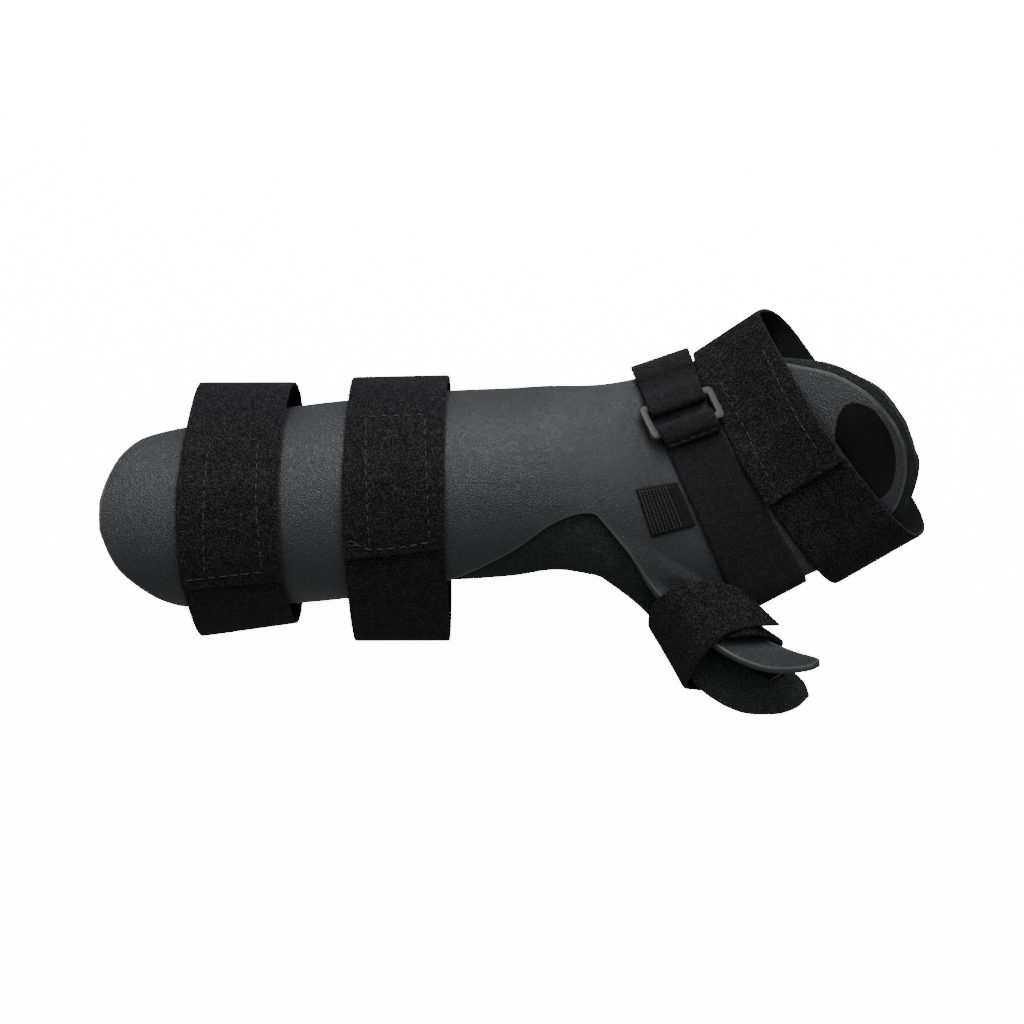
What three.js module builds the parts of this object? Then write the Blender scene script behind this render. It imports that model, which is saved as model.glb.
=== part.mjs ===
// Resting hand splint for the right hand, seen with its palm (volar) side up.
// Millimetres. x runs from the elbow end to the finger tips, y to the little-finger side,
// z up. The splint lies on the back of its straps at z = 0.
import * as THREE from 'three';

// Driving dimensions
const SHELL_T = 3; // thermoplastic sheet
const LINER_T = 4.5; // foam liner with fabric faces
const LINER_GAP = 0.4; // between shell and liner
const STRAP_T = 2; // loop-pile strap
const WIDE_STRAP = 50; // forearm straps
const FINGER_STRAP = 50;
const HAND_STRAP = 34;
const STRAP_GAP = 0.5; // between a strap and what it lies on
const EDGE_LIFT = 0.8; // more of it where a strap leaves the shell
const LAP = STRAP_GAP + STRAP_T; // one more layer of strap
const ON_SHELL = STRAP_GAP + STRAP_T / 2; // middle of a strap that lies on the shell
const RING = { length: 43.4, width: 18.6, bar: 3.9, thick: 2.4, lift: 6.2, round: 3 };
const HOOK_T = 1.2; // hook tape with its backing
const LABEL = { x: 176, y: 30.5, long: 25, short: 12.5, turn: 19, thick: 0.4, gap: 0.3, clear: 1.2 };
const CENTRE = { x: 6.6, y: 2.2 }; // middle of the bounding box before it is moved to the origin

// Sections of the mould that the shell is drawn over, elbow to finger tips. Each runs straight
// in plan from the ulnar border to the radial one, and is an arc about its ridge.
// cut: how far the shell is cut back from the radial border; lu, lv: how far the liner
// reaches past the ulnar and radial borders.
const FORM_COLUMNS = ['ux', 'uy', 'vx', 'vy', 'ridge', 'radius', 'cut', 'lu', 'lv'];
const FORM = [
  [-202.6, 5, -202.6, -9, 85, 49, 0, -4, -4], // elbow end
  [-200, 15.5, -198.5, -21.5, 85, 49, 0, -4, -4],
  [-195, 27.5, -194, -30.5, 85, 49, 0, -4, -4],
  [-187, 36.5, -186, -39, 85, 49, 0, -4, -4],
  [-178, 40.5, -178, -45, 85, 49, 0, -4, -4],
  [-166, 44, -166, -49, 85, 49, 0, -4, -4],
  [-135, 51, -135, -48.5, 85, 51, 0, -4, -4], // forearm
  [-100, 56.5, -100, -46.5, 85, 53, 0, -4, -4],
  [-58, 60.5, -58, -41, 85, 52.5, 0, -4, -4],
  [-30, 63, -30, -37, 85, 52, 2.5, -4, 2],
  [0, 64, 0, -34, 85, 52, 14, -4, 3], // wrist cut-out
  [20, 64.5, 23, -31, 84, 57, 26, -4, 2],
  [35, 64.5, 45, -35, 81, 66, 34, -4, 1], // thumb root begins
  [50, 66, 70, -39, 76, 76, 24, -4, 0],
  [66, 69.5, 94, -42, 68, 100, 13, -4, 0],
  [82, 75.5, 116, -44, 60, 140, 0, -4, -1], // web, thumb root ends
  [100, 79.5, 157, -31.5, 55, 150, 0, -3, 2],
  [121, 80, 177.5, -17.5, 63, 140, 0, 1, 5], // finger pan
  [144, 74, 192, -1, 73, 120, 0, 4.4, 6],
  [160, 69, 195.5, 12, 78, 120, 0, 4.8, 6],
  [174.5, 59.5, 195, 24, 81.5, 120, 0, 4, 3.2],
  [183.5, 49, 192.5, 33, 83.5, 120, 0, 3.2, 2.4], // pan tip
];
const ROOT = [12, 15]; // rows of the form between which the thumb grows out
const TIP = FORM.length - 1; // last row of the shell
const RUN_ON = 0.45; // rise of the mould past its last row

// Thumb tongues, root to tip: left border, right border, sag of the row between them.
const THUMB_COLUMNS = ['lx', 'ly', 'lz', 'rx', 'ry', 'rz', 'sag'];
const SHELL_THUMB = [
  [57, -19, 72, 114.5, -48, 46, 0],
  [70.5, -37.5, 63, 116, -53.5, 48, 3],
  [84, -50.5, 64, 121, -60, 53, 4],
  [97, -62, 69, 132, -66, 60, 4],
  [110, -71, 75, 142.5, -70, 68, 3],
  [124, -76, 82, 147.5, -71, 77, 2],
  [137, -76, 88, 150, -71.5, 84, 0.5],
  [146, -74, 90, 150.5, -72.5, 87, 0],
];
const LINER_THUMB = [
  [57, -42, 42, 113.5, -48, 39, 0],
  [70, -52.5, 40, 115, -54, 39, 0],
  [83, -69, 41, 118.5, -60.5, 41, 0],
  [93, -87, 44, 123, -66, 45, 0],
  [104, -97, 47, 130, -71.5, 49, 0],
  [118, -103.5, 50, 137, -77, 53, 0],
  [133, -104, 53, 145.8, -83.4, 55, 0],
  [141, -102.5, 54, 150, -88.5, 56, 0],
  [147.5, -99.3, 54.5, 151.8, -94.3, 56, 0],
];

// Thumb strap, free end to hidden end: its upper and lower borders.
const THUMB_STRAP = [
  [126.5, -48.5, 64, 135, -57, 66],
  [113, -38, 60, 118, -58, 68],
  [95, -35, 64, 105, -62, 74],
  [81, -38, 64, 94, -74, 69],
  [72.5, -46, 58, 90, -85, 58],
  [71, -56, 46, 89, -90, 48],
  [75, -61, 34, 95, -93, 36],
  [95, -60, 26, 110, -94, 28],
  [118, -58, 26, 134, -82, 30],
  [124, -58, 40, 140, -71, 42],
  [121, -55, 55, 136, -65, 58],
  [112, -48, 59, 123, -62, 66],
  [98, -43, 62, 108, -63, 71],
];

const V = (x, y, z) => new THREE.Vector3(x, y, z);
const mix = (a, b, t) => a + (b - a) * t;
const turn = (degrees) => (degrees * Math.PI) / 180;

/** Value at s of a smooth curve through (at[i], value[i]), with slopes from the neighbours. */
function through(at, value, s) {
  const last = at.length - 1;
  let i = 0;
  while (i < last - 1 && s > at[i + 1]) i += 1;
  const slope = (k) => {
    const a = Math.max(k - 1, 0);
    const b = Math.min(k + 1, last);
    return (value[b] - value[a]) / (at[b] - at[a]);
  };
  const d = at[i + 1] - at[i];
  const t = (s - at[i]) / d;
  const t2 = t * t;
  const t3 = t2 * t;
  return (2 * t3 - 3 * t2 + 1) * value[i] + (t3 - 2 * t2 + t) * d * slope(i)
    + (3 * t2 - 2 * t3) * value[i + 1] + (t3 - t2) * d * slope(i + 1);
}

// Distance along the mould of each of its rows, the mean of its two borders
const FORM_AT = [0];
for (let i = 1; i < FORM.length; i += 1) {
  const [a, b] = [FORM[i - 1], FORM[i]];
  const step = Math.hypot(b[0] - a[0], b[1] - a[1]) + Math.hypot(b[2] - a[2], b[3] - a[3]);
  FORM_AT.push(FORM_AT[i - 1] + step / 2);
}

/** The mould's section at s, as an object with the table's columns. */
function section(s) {
  const out = {};
  FORM_COLUMNS.forEach((name, k) => {
    out[name] = through(FORM_AT, FORM.map((row) => row[k]), s);
  });
  return out;
}

/** Height of the mould over a place in plan: the section that passes there, then its arc. */
function height(x, y) {
  let low = 0;
  let high = FORM_AT[FORM_AT.length - 1];
  for (let n = 0; n < 30; n += 1) {
    const s = (low + high) / 2;
    const f = section(s);
    const side = (f.vx - f.ux) * (y - f.uy) - (f.vy - f.uy) * (x - f.ux);
    if (side > 0) low = s;
    else high = s;
  }
  const f = section(low);
  const chord = Math.hypot(f.vx - f.ux, f.vy - f.uy);
  const q = ((f.ux - f.vx) * (x - (f.ux + f.vx) / 2) + (f.uy - f.vy) * (y - (f.uy + f.vy) / 2)) / chord;
  const arc = Math.min(Math.abs(q), 0.985 * f.radius);
  const past = Math.max(0, (f.vx - f.ux) * (y - f.uy) - (f.vy - f.uy) * (x - f.ux)) / chord;
  const z = f.ridge - f.radius + Math.sqrt(f.radius ** 2 - arc ** 2) - 5 * (Math.abs(q) - arc);
  return low > FORM_AT[TIP] - 0.01 ? z + RUN_ON * past : z;
}

/** Point and upward normal of the mould over a place in plan. */
function onForm(x, y) {
  const e = 0.2;
  const dx = (height(x + e, y) - height(x - e, y)) / (2 * e);
  const dy = (height(x, y + e) - height(x, y - e)) / (2 * e);
  return { p: V(x, y, height(x, y)), n: V(-dx, -dy, 1).normalize() };
}

/** Normals of a grid of points, all on the side that faces `out` at its first point. */
function gridNormals(grid, out) {
  const rows = grid.length - 1;
  const columns = grid[0].length - 1;
  const across = (i, j) => {
    const a = grid[Math.min(i + 1, rows)][j].clone().sub(grid[Math.max(i - 1, 0)][j]);
    const b = grid[i][Math.min(j + 1, columns)].clone().sub(grid[i][Math.max(j - 1, 0)]);
    return a.cross(b).normalize();
  };
  const sign = Math.sign(across(0, Math.round(columns / 2)).dot(out)) || 1;
  return grid.map((row, i) => row.map((_, j) => across(i, j).multiplyScalar(sign)));
}

/** Closed sheet: patches of points with normals, thickened by `above` and `below` along them. */
function wall(patches, above, below) {
  const index = new Map();
  const points = [];
  const normals = [];
  const faces = [];
  const id = (p, n) => {
    const key = `${p.x.toFixed(3)},${p.y.toFixed(3)},${p.z.toFixed(3)}`;
    if (!index.has(key)) {
      index.set(key, points.length);
      points.push(p);
      normals.push(n);
    }
    return index.get(key);
  };
  const face = (a, b, c) => {
    if (a === b || b === c || a === c) return;
    const ab = points[b].clone().sub(points[a]);
    const up = ab.cross(points[c].clone().sub(points[a])).dot(normals[a].clone().add(normals[c]));
    faces.push(up > 0 ? [a, b, c] : [a, c, b]);
  };
  for (const { grid, normal } of patches) {
    const ids = grid.map((row, i) => row.map((p, j) => id(p, normal[i][j])));
    for (let i = 0; i + 1 < ids.length; i += 1) {
      for (let j = 0; j + 1 < ids[i].length; j += 1) {
        const [a, b, c, d] = [ids[i][j], ids[i + 1][j], ids[i + 1][j + 1], ids[i][j + 1]];
        if (points[a].distanceTo(points[c]) < points[b].distanceTo(points[d])) {
          face(a, b, c);
          face(a, c, d);
        } else {
          face(a, b, d);
          face(b, c, d);
        }
      }
    }
  }
  const edges = new Set();
  for (const [a, b, c] of faces) {
    edges.add(`${a},${b}`).add(`${b},${c}`).add(`${c},${a}`);
  }
  const n = points.length;
  const triangles = [];
  for (const [a, b, c] of faces) {
    triangles.push(a, b, c, c + n, b + n, a + n);
  }
  for (const edge of edges) {
    const [a, b] = edge.split(',').map(Number);
    if (!edges.has(`${b},${a}`)) triangles.push(b, a, a + n, b, a + n, b + n);
  }
  const corners = [
    ...points.map((p, i) => p.clone().addScaledVector(normals[i], above)),
    ...points.map((p, i) => p.clone().addScaledVector(normals[i], -below)),
  ];
  const geometry = new THREE.BufferGeometry().setFromPoints(corners);
  geometry.setIndex(triangles);
  return geometry;
}

/** Numbers from a to b in n steps, both ends in. */
const steps = (a, b, n) => Array.from({ length: n + 1 }, (_, i) => mix(a, b, i / n));

const ROOT_AT = ROOT.map((row) => FORM_AT[row]);
const ROOT_STEPS = 9;
const BODY_ROWS = [
  ...steps(0, FORM_AT[5], 9),
  ...steps(FORM_AT[5], ROOT_AT[0], 15).slice(1),
  ...steps(ROOT_AT[0], ROOT_AT[1], ROOT_STEPS).slice(1),
  ...steps(ROOT_AT[1], FORM_AT[TIP], 14).slice(1),
];
const ROOT_ROW = BODY_ROWS.indexOf(ROOT_AT[0]);

/** Border places in plan of one row of the shell. */
function shellRow(s) {
  const f = section(s);
  const chord = Math.hypot(f.vx - f.ux, f.vy - f.uy);
  const t = 1 - f.cut / chord;
  return { f, chord, u: [f.ux, f.uy], v: [mix(f.ux, f.vx, t), mix(f.uy, f.vy, t)] };
}

/** Border places in plan of one row of the liner, set off square to the form's borders. */
function linerRow(s) {
  const f = section(s);
  const [a, b] = [section(s - 0.5), section(s + 0.5)];
  const off = (x, y, side, by) => {
    const [dx, dy] = [b[x] - a[x], b[y] - a[y]];
    const long = Math.hypot(dx, dy);
    return [f[x] - (side * by * dy) / long, f[y] + (side * by * dx) / long];
  };
  const u = off('ux', 'uy', 1, f.lu);
  const v = off('vx', 'vy', -1, f.lv);
  return { f, chord: Math.hypot(v[0] - u[0], v[1] - u[1]), u, v };
}

/** Point and normal of a sheet at a place in plan: past the ends of section f it runs on straight. */
function onSheet(f, x, y) {
  const chord = Math.hypot(f.ux - f.vx, f.uy - f.vy);
  const [mx, my] = [(f.ux + f.vx) / 2, (f.uy + f.vy) / 2];
  const q = ((x - mx) * (f.ux - f.vx) + (y - my) * (f.uy - f.vy)) / chord;
  if (Math.abs(q) < chord / 2 + 0.01) return onForm(x, y);
  const [bx, by] = q > 0 ? [f.ux, f.uy] : [f.vx, f.vy];
  const { p, n } = onForm(bx, by);
  return { p: V(x, y, p.z - (n.x * (x - bx) + n.y * (y - by)) / n.z), n };
}

/** Body patch: rows across the mould, spaced evenly round each arc, set `down` inside it. */
function bodyPatch(rowAt, columns, down) {
  const grid = [];
  const normal = [];
  for (const s of BODY_ROWS) {
    const { f, u, v } = rowAt(s);
    const [mx, my] = [(f.ux + f.vx) / 2, (f.uy + f.vy) / 2];
    const long = Math.hypot(f.ux - f.vx, f.uy - f.vy);
    const angle = ([x, y]) => {
      const q = ((x - mx) * (f.ux - f.vx) + (y - my) * (f.uy - f.vy)) / long;
      return Math.asin(Math.max(-0.985, Math.min(0.985, q / f.radius)));
    };
    const [from, to] = [Math.sin(angle(u)), Math.sin(angle(v))];
    const row = steps(angle(u), angle(v), columns).map((a) => {
      const t = (Math.sin(a) - from) / (to - from);
      return onSheet(f, mix(u[0], v[0], t), mix(u[1], v[1], t));
    });
    grid.push(row.map(({ p, n }) => p.clone().addScaledVector(n, -down)));
    normal.push(row.map(({ n }) => n));
  }
  return { grid, normal };
}

/** Thumb patch: columns that run on from the body's rows, through the rows of a table. */
function thumbPatch(body, table, stepsToTip) {
  const grid = Array.from({ length: stepsToTip + 1 }, () => []);
  for (let c = 0; c <= ROOT_STEPS; c += 1) {
    const t = c / ROOT_STEPS;
    const bodyRow = body.grid[ROOT_ROW + c];
    const line = [bodyRow[bodyRow.length - 2], bodyRow[bodyRow.length - 1]];
    for (const row of table) {
      const r = Object.fromEntries(THUMB_COLUMNS.map((name, k) => [name, row[k]]));
      const z = mix(r.lz, r.rz, t) - r.sag * 4 * t * (1 - t);
      line.push(V(mix(r.lx, r.rx, t), mix(r.ly, r.ry, t), z));
    }
    const at = line.map((_, i) => i);
    steps(1, line.length - 1, stepsToTip).forEach((s, i) => {
      const value = (axis) => through(at, line.map((p) => p[axis]), s);
      grid[i].push(i === 0 ? line[1] : V(value('x'), value('y'), value('z')));
    });
  }
  const normal = gridNormals(grid, V(0, 0, 1));
  normal[0] = grid[0].map((_, c) => body.normal[ROOT_ROW + c].at(-1));
  return { grid, normal };
}

const shellBody = bodyPatch(shellRow, 15, 0);
const shellThumb = thumbPatch(shellBody, SHELL_THUMB, 14);
const linerBody = bodyPatch(linerRow, 12, SHELL_T + LINER_GAP);
const linerThumb = thumbPatch(linerBody, LINER_THUMB, 12);
const shellGeometry = wall([shellBody, shellThumb], 0, SHELL_T);
const linerGeometry = wall([linerBody, linerThumb], 0, LINER_T);

// The shell's outer face, onto which straps and labels are laid
const skin = new THREE.Mesh(shellGeometry, new THREE.MeshBasicMaterial({ side: THREE.DoubleSide }));
const ray = new THREE.Raycaster();

/** First place where a line down -n from high above p meets the shell, or null. */
function lay(p, n) {
  ray.set(p.clone().addScaledVector(n, 150), n.clone().negate().normalize());
  const hit = ray.intersectObject(skin)[0];
  return hit ? hit.point : null;
}

/** Frame of a strap: t across its width, w along it to the ulnar side, n off the shell. */
function strapFrame(origin, heading, pitch, lean) {
  const [h, p] = [turn(heading), turn(pitch)];
  const t = V(Math.cos(p) * Math.cos(h), Math.cos(p) * Math.sin(h), Math.sin(p));
  const w = V(-Math.sin(h), Math.cos(h), 0);
  const n = t.clone().cross(w).addScaledVector(t, -lean);
  return {
    origin, t, w, n,
    at: (a, l, up) => origin.clone().addScaledVector(t, a).addScaledVector(w, l).addScaledVector(n, up),
  };
}

/** Height along n, in a strap's frame, of the shell at (a, l); the slope is taken along l. */
function lie(frame, a, l) {
  const p = frame.at(a, l, 0);
  const hit = lay(p, frame.n);
  return hit ? hit.sub(p).dot(frame.n) / frame.n.lengthSq() : null;
}

/** Height of the middle of a strap that lies `off` the shell, measured square to the shell. */
function over(frame, a, l, off) {
  const up = lie(frame, a, l);
  const inner = l - 2 * Math.sign(l);
  const slope = (up - lie(frame, a, inner)) / (l - inner);
  const side = (lie(frame, a + 1, inner) - lie(frame, a - 1, inner)) / 2;
  return { up: up + off * Math.hypot(1, slope, side), slope };
}

/** Points of a quadratic curve a, b, c in n steps, without its first point. */
function bend(a, b, c, n) {
  return steps(0, 1, n).slice(1).map((t) => [0, 1].map(
    (k) => (1 - t) ** 2 * a[k] + 2 * t * (1 - t) * b[k] + t * t * c[k]));
}

/** Way from a strap's last place on the shell round a fold and onto its back stretch. */
function roundFold(frame, a, side, hug, fold, back, off) {
  const { up, slope } = over(frame, a, hug, off + EDGE_LIFT);
  const top = [hug, up];
  const corner = [fold.l, Math.max(up + slope * (fold.l - hug), fold.up + 4)];
  const out = [fold.l, fold.up];
  const base = [fold.l - side * fold.run, back];
  return [top, ...bend(top, corner, out, 6), ...bend(out, [fold.l, back], base, 6)];
}

/** Share of a strap's width that it spans in its frame at l: [l, share, l, share] of two places. */
function spreadAt([from, first, to, second], l) {
  return mix(first, second, Math.min(1, Math.max(0, (l - from) / (to - from))));
}

const EVEN = [0, 1, 1, 1]; // full width all along

/**
 * Strap closed on itself: the hidden lower end at `start` runs to the radial fold, along the
 * back, round the ulnar fold and over the lower layer to the cut end at `end`.
 */
function closedStrap(frame, width, o) {
  const across = 3;
  const columns = steps(-width / 2, width / 2, across).map((flat) => {
    const k = flat / width + 0.5;
    const pick = (v) => (Array.isArray(v) ? mix(v[0], v[1], k) : v);
    const a = (l) => flat * spreadAt(o.spread, l);
    const path = [];
    for (const l of steps(o.start, o.hugRadial, 7).slice(0, -1)) {
      path.push([l, over(frame, a(l), l, ON_SHELL).up]);
    }
    const radial = { l: pick(o.radial), up: o.radialUp, run: o.run };
    const ulnar = { l: pick(o.ulnar), up: o.ulnarUp, run: o.run };
    path.push(...roundFold(frame, a(o.hugRadial), -1, o.hugRadial, radial, o.back, ON_SHELL));
    const rise = roundFold(frame, a(o.hugUlnar), 1, o.hugUlnar, ulnar, o.back, ON_SHELL).reverse();
    const [from, to] = [path.at(-1)[0], rise[0][0]];
    path.push(...steps(from, to, 4).slice(1, -1).map((l) => [l, o.back]));
    path.push(...rise);
    for (const l of steps(o.hugUlnar, pick(o.end), 12).slice(1)) {
      const lap = LAP * Math.min(1, Math.max(0, (o.start + 14 - l) / 10));
      path.push([l, over(frame, a(l), l, ON_SHELL + lap).up]);
    }
    return path.map(([l, up]) => frame.at(a(l), l, up));
  });
  const grid = columns[0].map((_, i) => columns.map((c) => c[i]));
  return wall([{ grid, normal: gridNormals(grid, frame.n) }], STRAP_T / 2, STRAP_T / 2);
}

const proximal = closedStrap(strapFrame(V(-139, 0, 0), 0, 0, 0), WIDE_STRAP, {
  start: 8, end: [-37, -36], hugRadial: -38.5, radial: [-65, -58], radialUp: 27,
  hugUlnar: 29, ulnar: 67.5, ulnarUp: 32, run: 30, back: STRAP_T / 2, spread: EVEN,
});
const distal = closedStrap(strapFrame(V(-58, 0, 0), 0, 0, 0), WIDE_STRAP, {
  start: 16, end: [-24, -18], hugRadial: -26, radial: -67.5, radialUp: 27,
  hugUlnar: 37, ulnar: [70, 71], ulnarUp: 33, run: 30, back: STRAP_T / 2, spread: EVEN,
});
const fingerFrame = strapFrame(V(139.6, 32.6, 60.6), 33, 18, 0.2);
const FINGER_SPREAD = [66, 0.79, -76, 1.02]; // narrower in its frame where it climbs the ulnar side
const finger = closedStrap(fingerFrame, FINGER_STRAP, {
  start: 3, end: -22, hugRadial: -56, radial: -76, radialUp: -30,
  hugUlnar: 40, ulnar: 66, ulnarUp: -18, run: 24, back: -50, spread: FINGER_SPREAD,
});

// Hand strap: both ends turn round a bar of the ring and lie back on themselves
const HAND_Z = 58; // height of the frame that the hand strap is laid out in
const handFrame = strapFrame(V(104.3, 12.8, HAND_Z), 25.5, 0, 0.1);
const HAND_BACK = STRAP_T / 2 - HAND_Z;
const HAND_SPREAD = [30, 0.855, -55, 1]; // narrower in its frame where it climbs to the ring
// How far the strap's left and right borders lie off that course, towards the finger tips
const HAND_DRIFT = [
  { l: -58, left: 0, right: 5 },
  { l: -5, left: 0, right: 0 },
  { l: 48, left: 0, right: 0 },
  { l: 70, left: 1.5, right: 3.5 },
];
const RING_AT = 41.7; // along the strap
const BAR_AT = (RING.width - RING.bar) / 2;

/** Flat seat of the ring on the shell: height at l, level with the shell's two sides. */
function seat(a, l) {
  const half = (HAND_STRAP * HAND_SPREAD[1]) / 2;
  const [low, mid, high] = [-half, 0, half].map((at) => lie(handFrame, at, l));
  return Math.max(mid, (low + high) / 2) + ((high - low) * a) / (2 * half);
}

const SEAT_SLOPE = [
  (seat(9, RING_AT) - seat(-9, RING_AT)) / 18, (seat(0, RING_AT + 6) - seat(0, RING_AT - 6)) / 12];
const SEAT_TILT = Math.hypot(1, ...SEAT_SLOPE);
// How far a line square to the strap on the sloping seat moves along it for each step across
const SQUARE = (-SEAT_SLOPE[0] * SEAT_SLOPE[1]) / (1 + SEAT_SLOPE[1] ** 2);

function driftAt(l, k) {
  const i = HAND_DRIFT.findIndex((row, n) => n === HAND_DRIFT.length - 2 || l < HAND_DRIFT[n + 1].l);
  const [low, high] = [HAND_DRIFT[i], HAND_DRIFT[i + 1]];
  const t = Math.min(1, Math.max(0, (l - low.l) / (high.l - low.l)));
  return mix(mix(low.left, low.right, k), mix(high.left, high.right, k), t);
}

function handStrap() {
  const turnUp = RING.lift + RING.thick / 2 + 2 * STRAP_GAP + STRAP_T / 2;
  const reach = RING.bar / 2 + 2 * STRAP_GAP + STRAP_T / 2;
  // Way round a bar, from the layer on top to the layer below; towards the ring's middle is +
  const aroundBar = [
    [-13, ON_SHELL + LAP], [-8, ON_SHELL + LAP + 0.8], [-3.6, turnUp - 0.4], [0, turnUp + 0.2],
    [reach * 0.6, turnUp], [reach * 0.95, turnUp - 1.3], [reach, RING.lift],
    [reach * 0.95, ON_SHELL + 1.3], [reach * 0.6, ON_SHELL + 0.2], [-1, ON_SHELL],
  ];
  const flap = [[-7.4, ON_SHELL + LAP + 0.1], [-5.4, ON_SHELL + LAP + 1.2], [-3.2, turnUp - 1]];
  const columns = steps(-HAND_STRAP / 2, HAND_STRAP / 2, 3).map((flat) => {
    const k = flat / HAND_STRAP + 0.5;
    const a = (l) => flat * spreadAt(HAND_SPREAD, l) + driftAt(l, k);
    const onSeat = (d, up) => {
      const l = RING_AT + d + SQUARE * a(RING_AT);
      return [l, seat(a(l), l) + up * SEAT_TILT];
    };
    const path = [...flap, ...aroundBar.slice(3)].map(([d, up]) => onSeat(d - BAR_AT, up));
    for (const l of [24, 14, 4, -8, -20, -32, -42, -48]) {
      path.push([l, over(handFrame, a(l), l, ON_SHELL).up]);
    }
    const web = { l: mix(-66.5, -65, k), up: 36 - HAND_Z, run: 26 };
    const hugWeb = mix(-53.5, -59, k);
    path.push(...roundFold(handFrame, a(hugWeb), -1, hugWeb, web, HAND_BACK, ON_SHELL));
    const edge = { l: mix(71.8, 68.2, k), up: 36 - HAND_Z, run: 22 };
    const hug = mix(66.5, 63, k);
    const rise = roundFold(handFrame, a(hug), 1, hug, edge, HAND_BACK, ON_SHELL).reverse();
    path.push(...steps(path.at(-1)[0], rise[0][0], 4).slice(1, -1).map((l) => [l, HAND_BACK]));
    path.push(...rise);
    path.push([57, over(handFrame, a(57), 57, ON_SHELL).up]);
    const upper = aroundBar.map(([d, up]) => onSeat(BAR_AT - d, up)).reverse();
    path.push(...upper);
    const lapEdge = { l: edge.l + LAP, up: edge.up, run: edge.run };
    const lapped = roundFold(handFrame, a(hug), 1, hug, lapEdge, HAND_BACK + LAP, ON_SHELL + LAP);
    path.push(...lapped.slice(0, 8));
    return path.map(([l, up]) => handFrame.at(a(l), l, up));
  });
  const grid = columns[0].map((_, i) => columns.map((c) => c[i]));
  return wall([{ grid, normal: gridNormals(grid, handFrame.n) }], STRAP_T / 2, STRAP_T / 2);
}

/** Rounded rectangle as a path, for the ring's outline and its opening. */
function rounded(path, length, width, r) {
  const [x, y] = [length / 2, width / 2];
  path.moveTo(-x + r, -y).lineTo(x - r, -y).absarc(x - r, -y + r, r, -Math.PI / 2, 0);
  path.lineTo(x, y - r).absarc(x - r, y - r, r, 0, Math.PI / 2);
  path.lineTo(-x + r, y).absarc(-x + r, y - r, r, Math.PI / 2, Math.PI);
  path.lineTo(-x, -y + r).absarc(-x + r, -y + r, r, Math.PI, 1.5 * Math.PI);
  return path;
}

function strapRing() {
  const shape = rounded(new THREE.Shape(), RING.length, RING.width, RING.round);
  const inner = [RING.length - 2 * RING.bar, RING.width - 2 * RING.bar];
  shape.holes.push(rounded(new THREE.Path(), inner[0], inner[1], 1));
  const bar = { depth: RING.thick, bevelEnabled: false, curveSegments: 4 };
  const geometry = new THREE.ExtrudeGeometry(shape, bar);
  geometry.translate(0, 0, -RING.thick / 2);
  const place = (a, l) => handFrame.at(a, l, seat(a, l) + RING.lift * SEAT_TILT);
  const [lower, upper] = [place(0, RING_AT - BAR_AT), place(0, RING_AT + BAR_AT)];
  const origin = lower.clone().lerp(upper, 0.5);
  const y = upper.clone().sub(lower).normalize();
  const z = place(9, RING_AT).sub(place(-9, RING_AT)).cross(y).normalize();
  const x = y.clone().cross(z);
  return geometry.applyMatrix4(new THREE.Matrix4().makeBasis(x, y, z).setPosition(origin));
}

function thumbStrap() {
  const at = THUMB_STRAP.map((_, i) => i);
  const front = (s) => s < 4.3 || s > 10.2;
  const grid = steps(0, at.length - 1, 48).map((s) => {
    const edge = (from) => V(...[0, 1, 2].map((k) => through(at, THUMB_STRAP.map((r) => r[from + k]), s)));
    return steps(0, 1, 3).map((t) => {
      const p = edge(0).lerp(edge(3), t);
      const hit = front(s) ? lay(p, V(0, 0, 1)) : null;
      const off = (s > 10.2 ? ON_SHELL : ON_SHELL + LAP) * 1.35;
      if (hit) p.z = Math.max(p.z, hit.z + off);
      return p;
    });
  });
  return wall([{ grid, normal: gridNormals(grid, V(0, 0, 1)) }], STRAP_T / 2, STRAP_T / 2);
}

/** Thin plate laid on the shell: a grid of places in plan, raised by `gap` and `thick`. */
function laidPlate(places, gap, thick) {
  const cells = places.map((row) => row.map(([x, y]) => onForm(x, y)));
  const grid = cells.map((row) => row.map(({ p, n }) => p.clone().addScaledVector(n, gap)));
  return wall([{ grid, normal: cells.map((row) => row.map(({ n }) => n)) }], thick, 0);
}

function hookPatch() {
  const corner = { a: [62, 11.5], b: [80.5, 15.5], c: [91.5, -7.5], d: [70, -13] };
  const places = steps(0, 1, 6).map((u) => steps(0, 1, 6).map((v) => [0, 1].map((k) => mix(
    mix(corner.a[k], corner.b[k], u), mix(corner.d[k], corner.c[k], u), v))));
  return laidPlate(places, 0.4, HOOK_T);
}

function sizeLabel() {
  const [c, s] = [Math.cos(turn(LABEL.turn)), Math.sin(turn(LABEL.turn))];
  // The label stops short of the finger strap's edge, which slants in the strap's frame
  const halfAt = (l) => (FINGER_STRAP / 2) * spreadAt(FINGER_SPREAD, l);
  const [near, far] = [-30, 30].map((l) => fingerFrame.at(halfAt(l), l, 0));
  const edge = near.clone().lerp(far, 0.5);
  const away = far.sub(near).setZ(0).cross(V(0, 0, 1)).normalize();
  const middle = V(LABEL.x, LABEL.y, 0);
  const places = steps(0, 1, 2).map((r) => steps(0, 2 * Math.PI, 28).map((a) => {
    const [u, v] = [LABEL.short * r * Math.cos(a), LABEL.long * r * Math.sin(a)];
    const p = V(LABEL.x + u * c - v * s, LABEL.y + u * s + v * c, 0);
    const past = p.clone().sub(edge).dot(away) - LABEL.clear;
    const room = middle.clone().sub(edge).dot(away) - LABEL.clear;
    p.lerpVectors(middle, p, Math.min(1, room / Math.max(room - past, 0.01)));
    return [p.x, p.y];
  }));
  return laidPlate(places, LABEL.gap, LABEL.thick);
}

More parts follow.
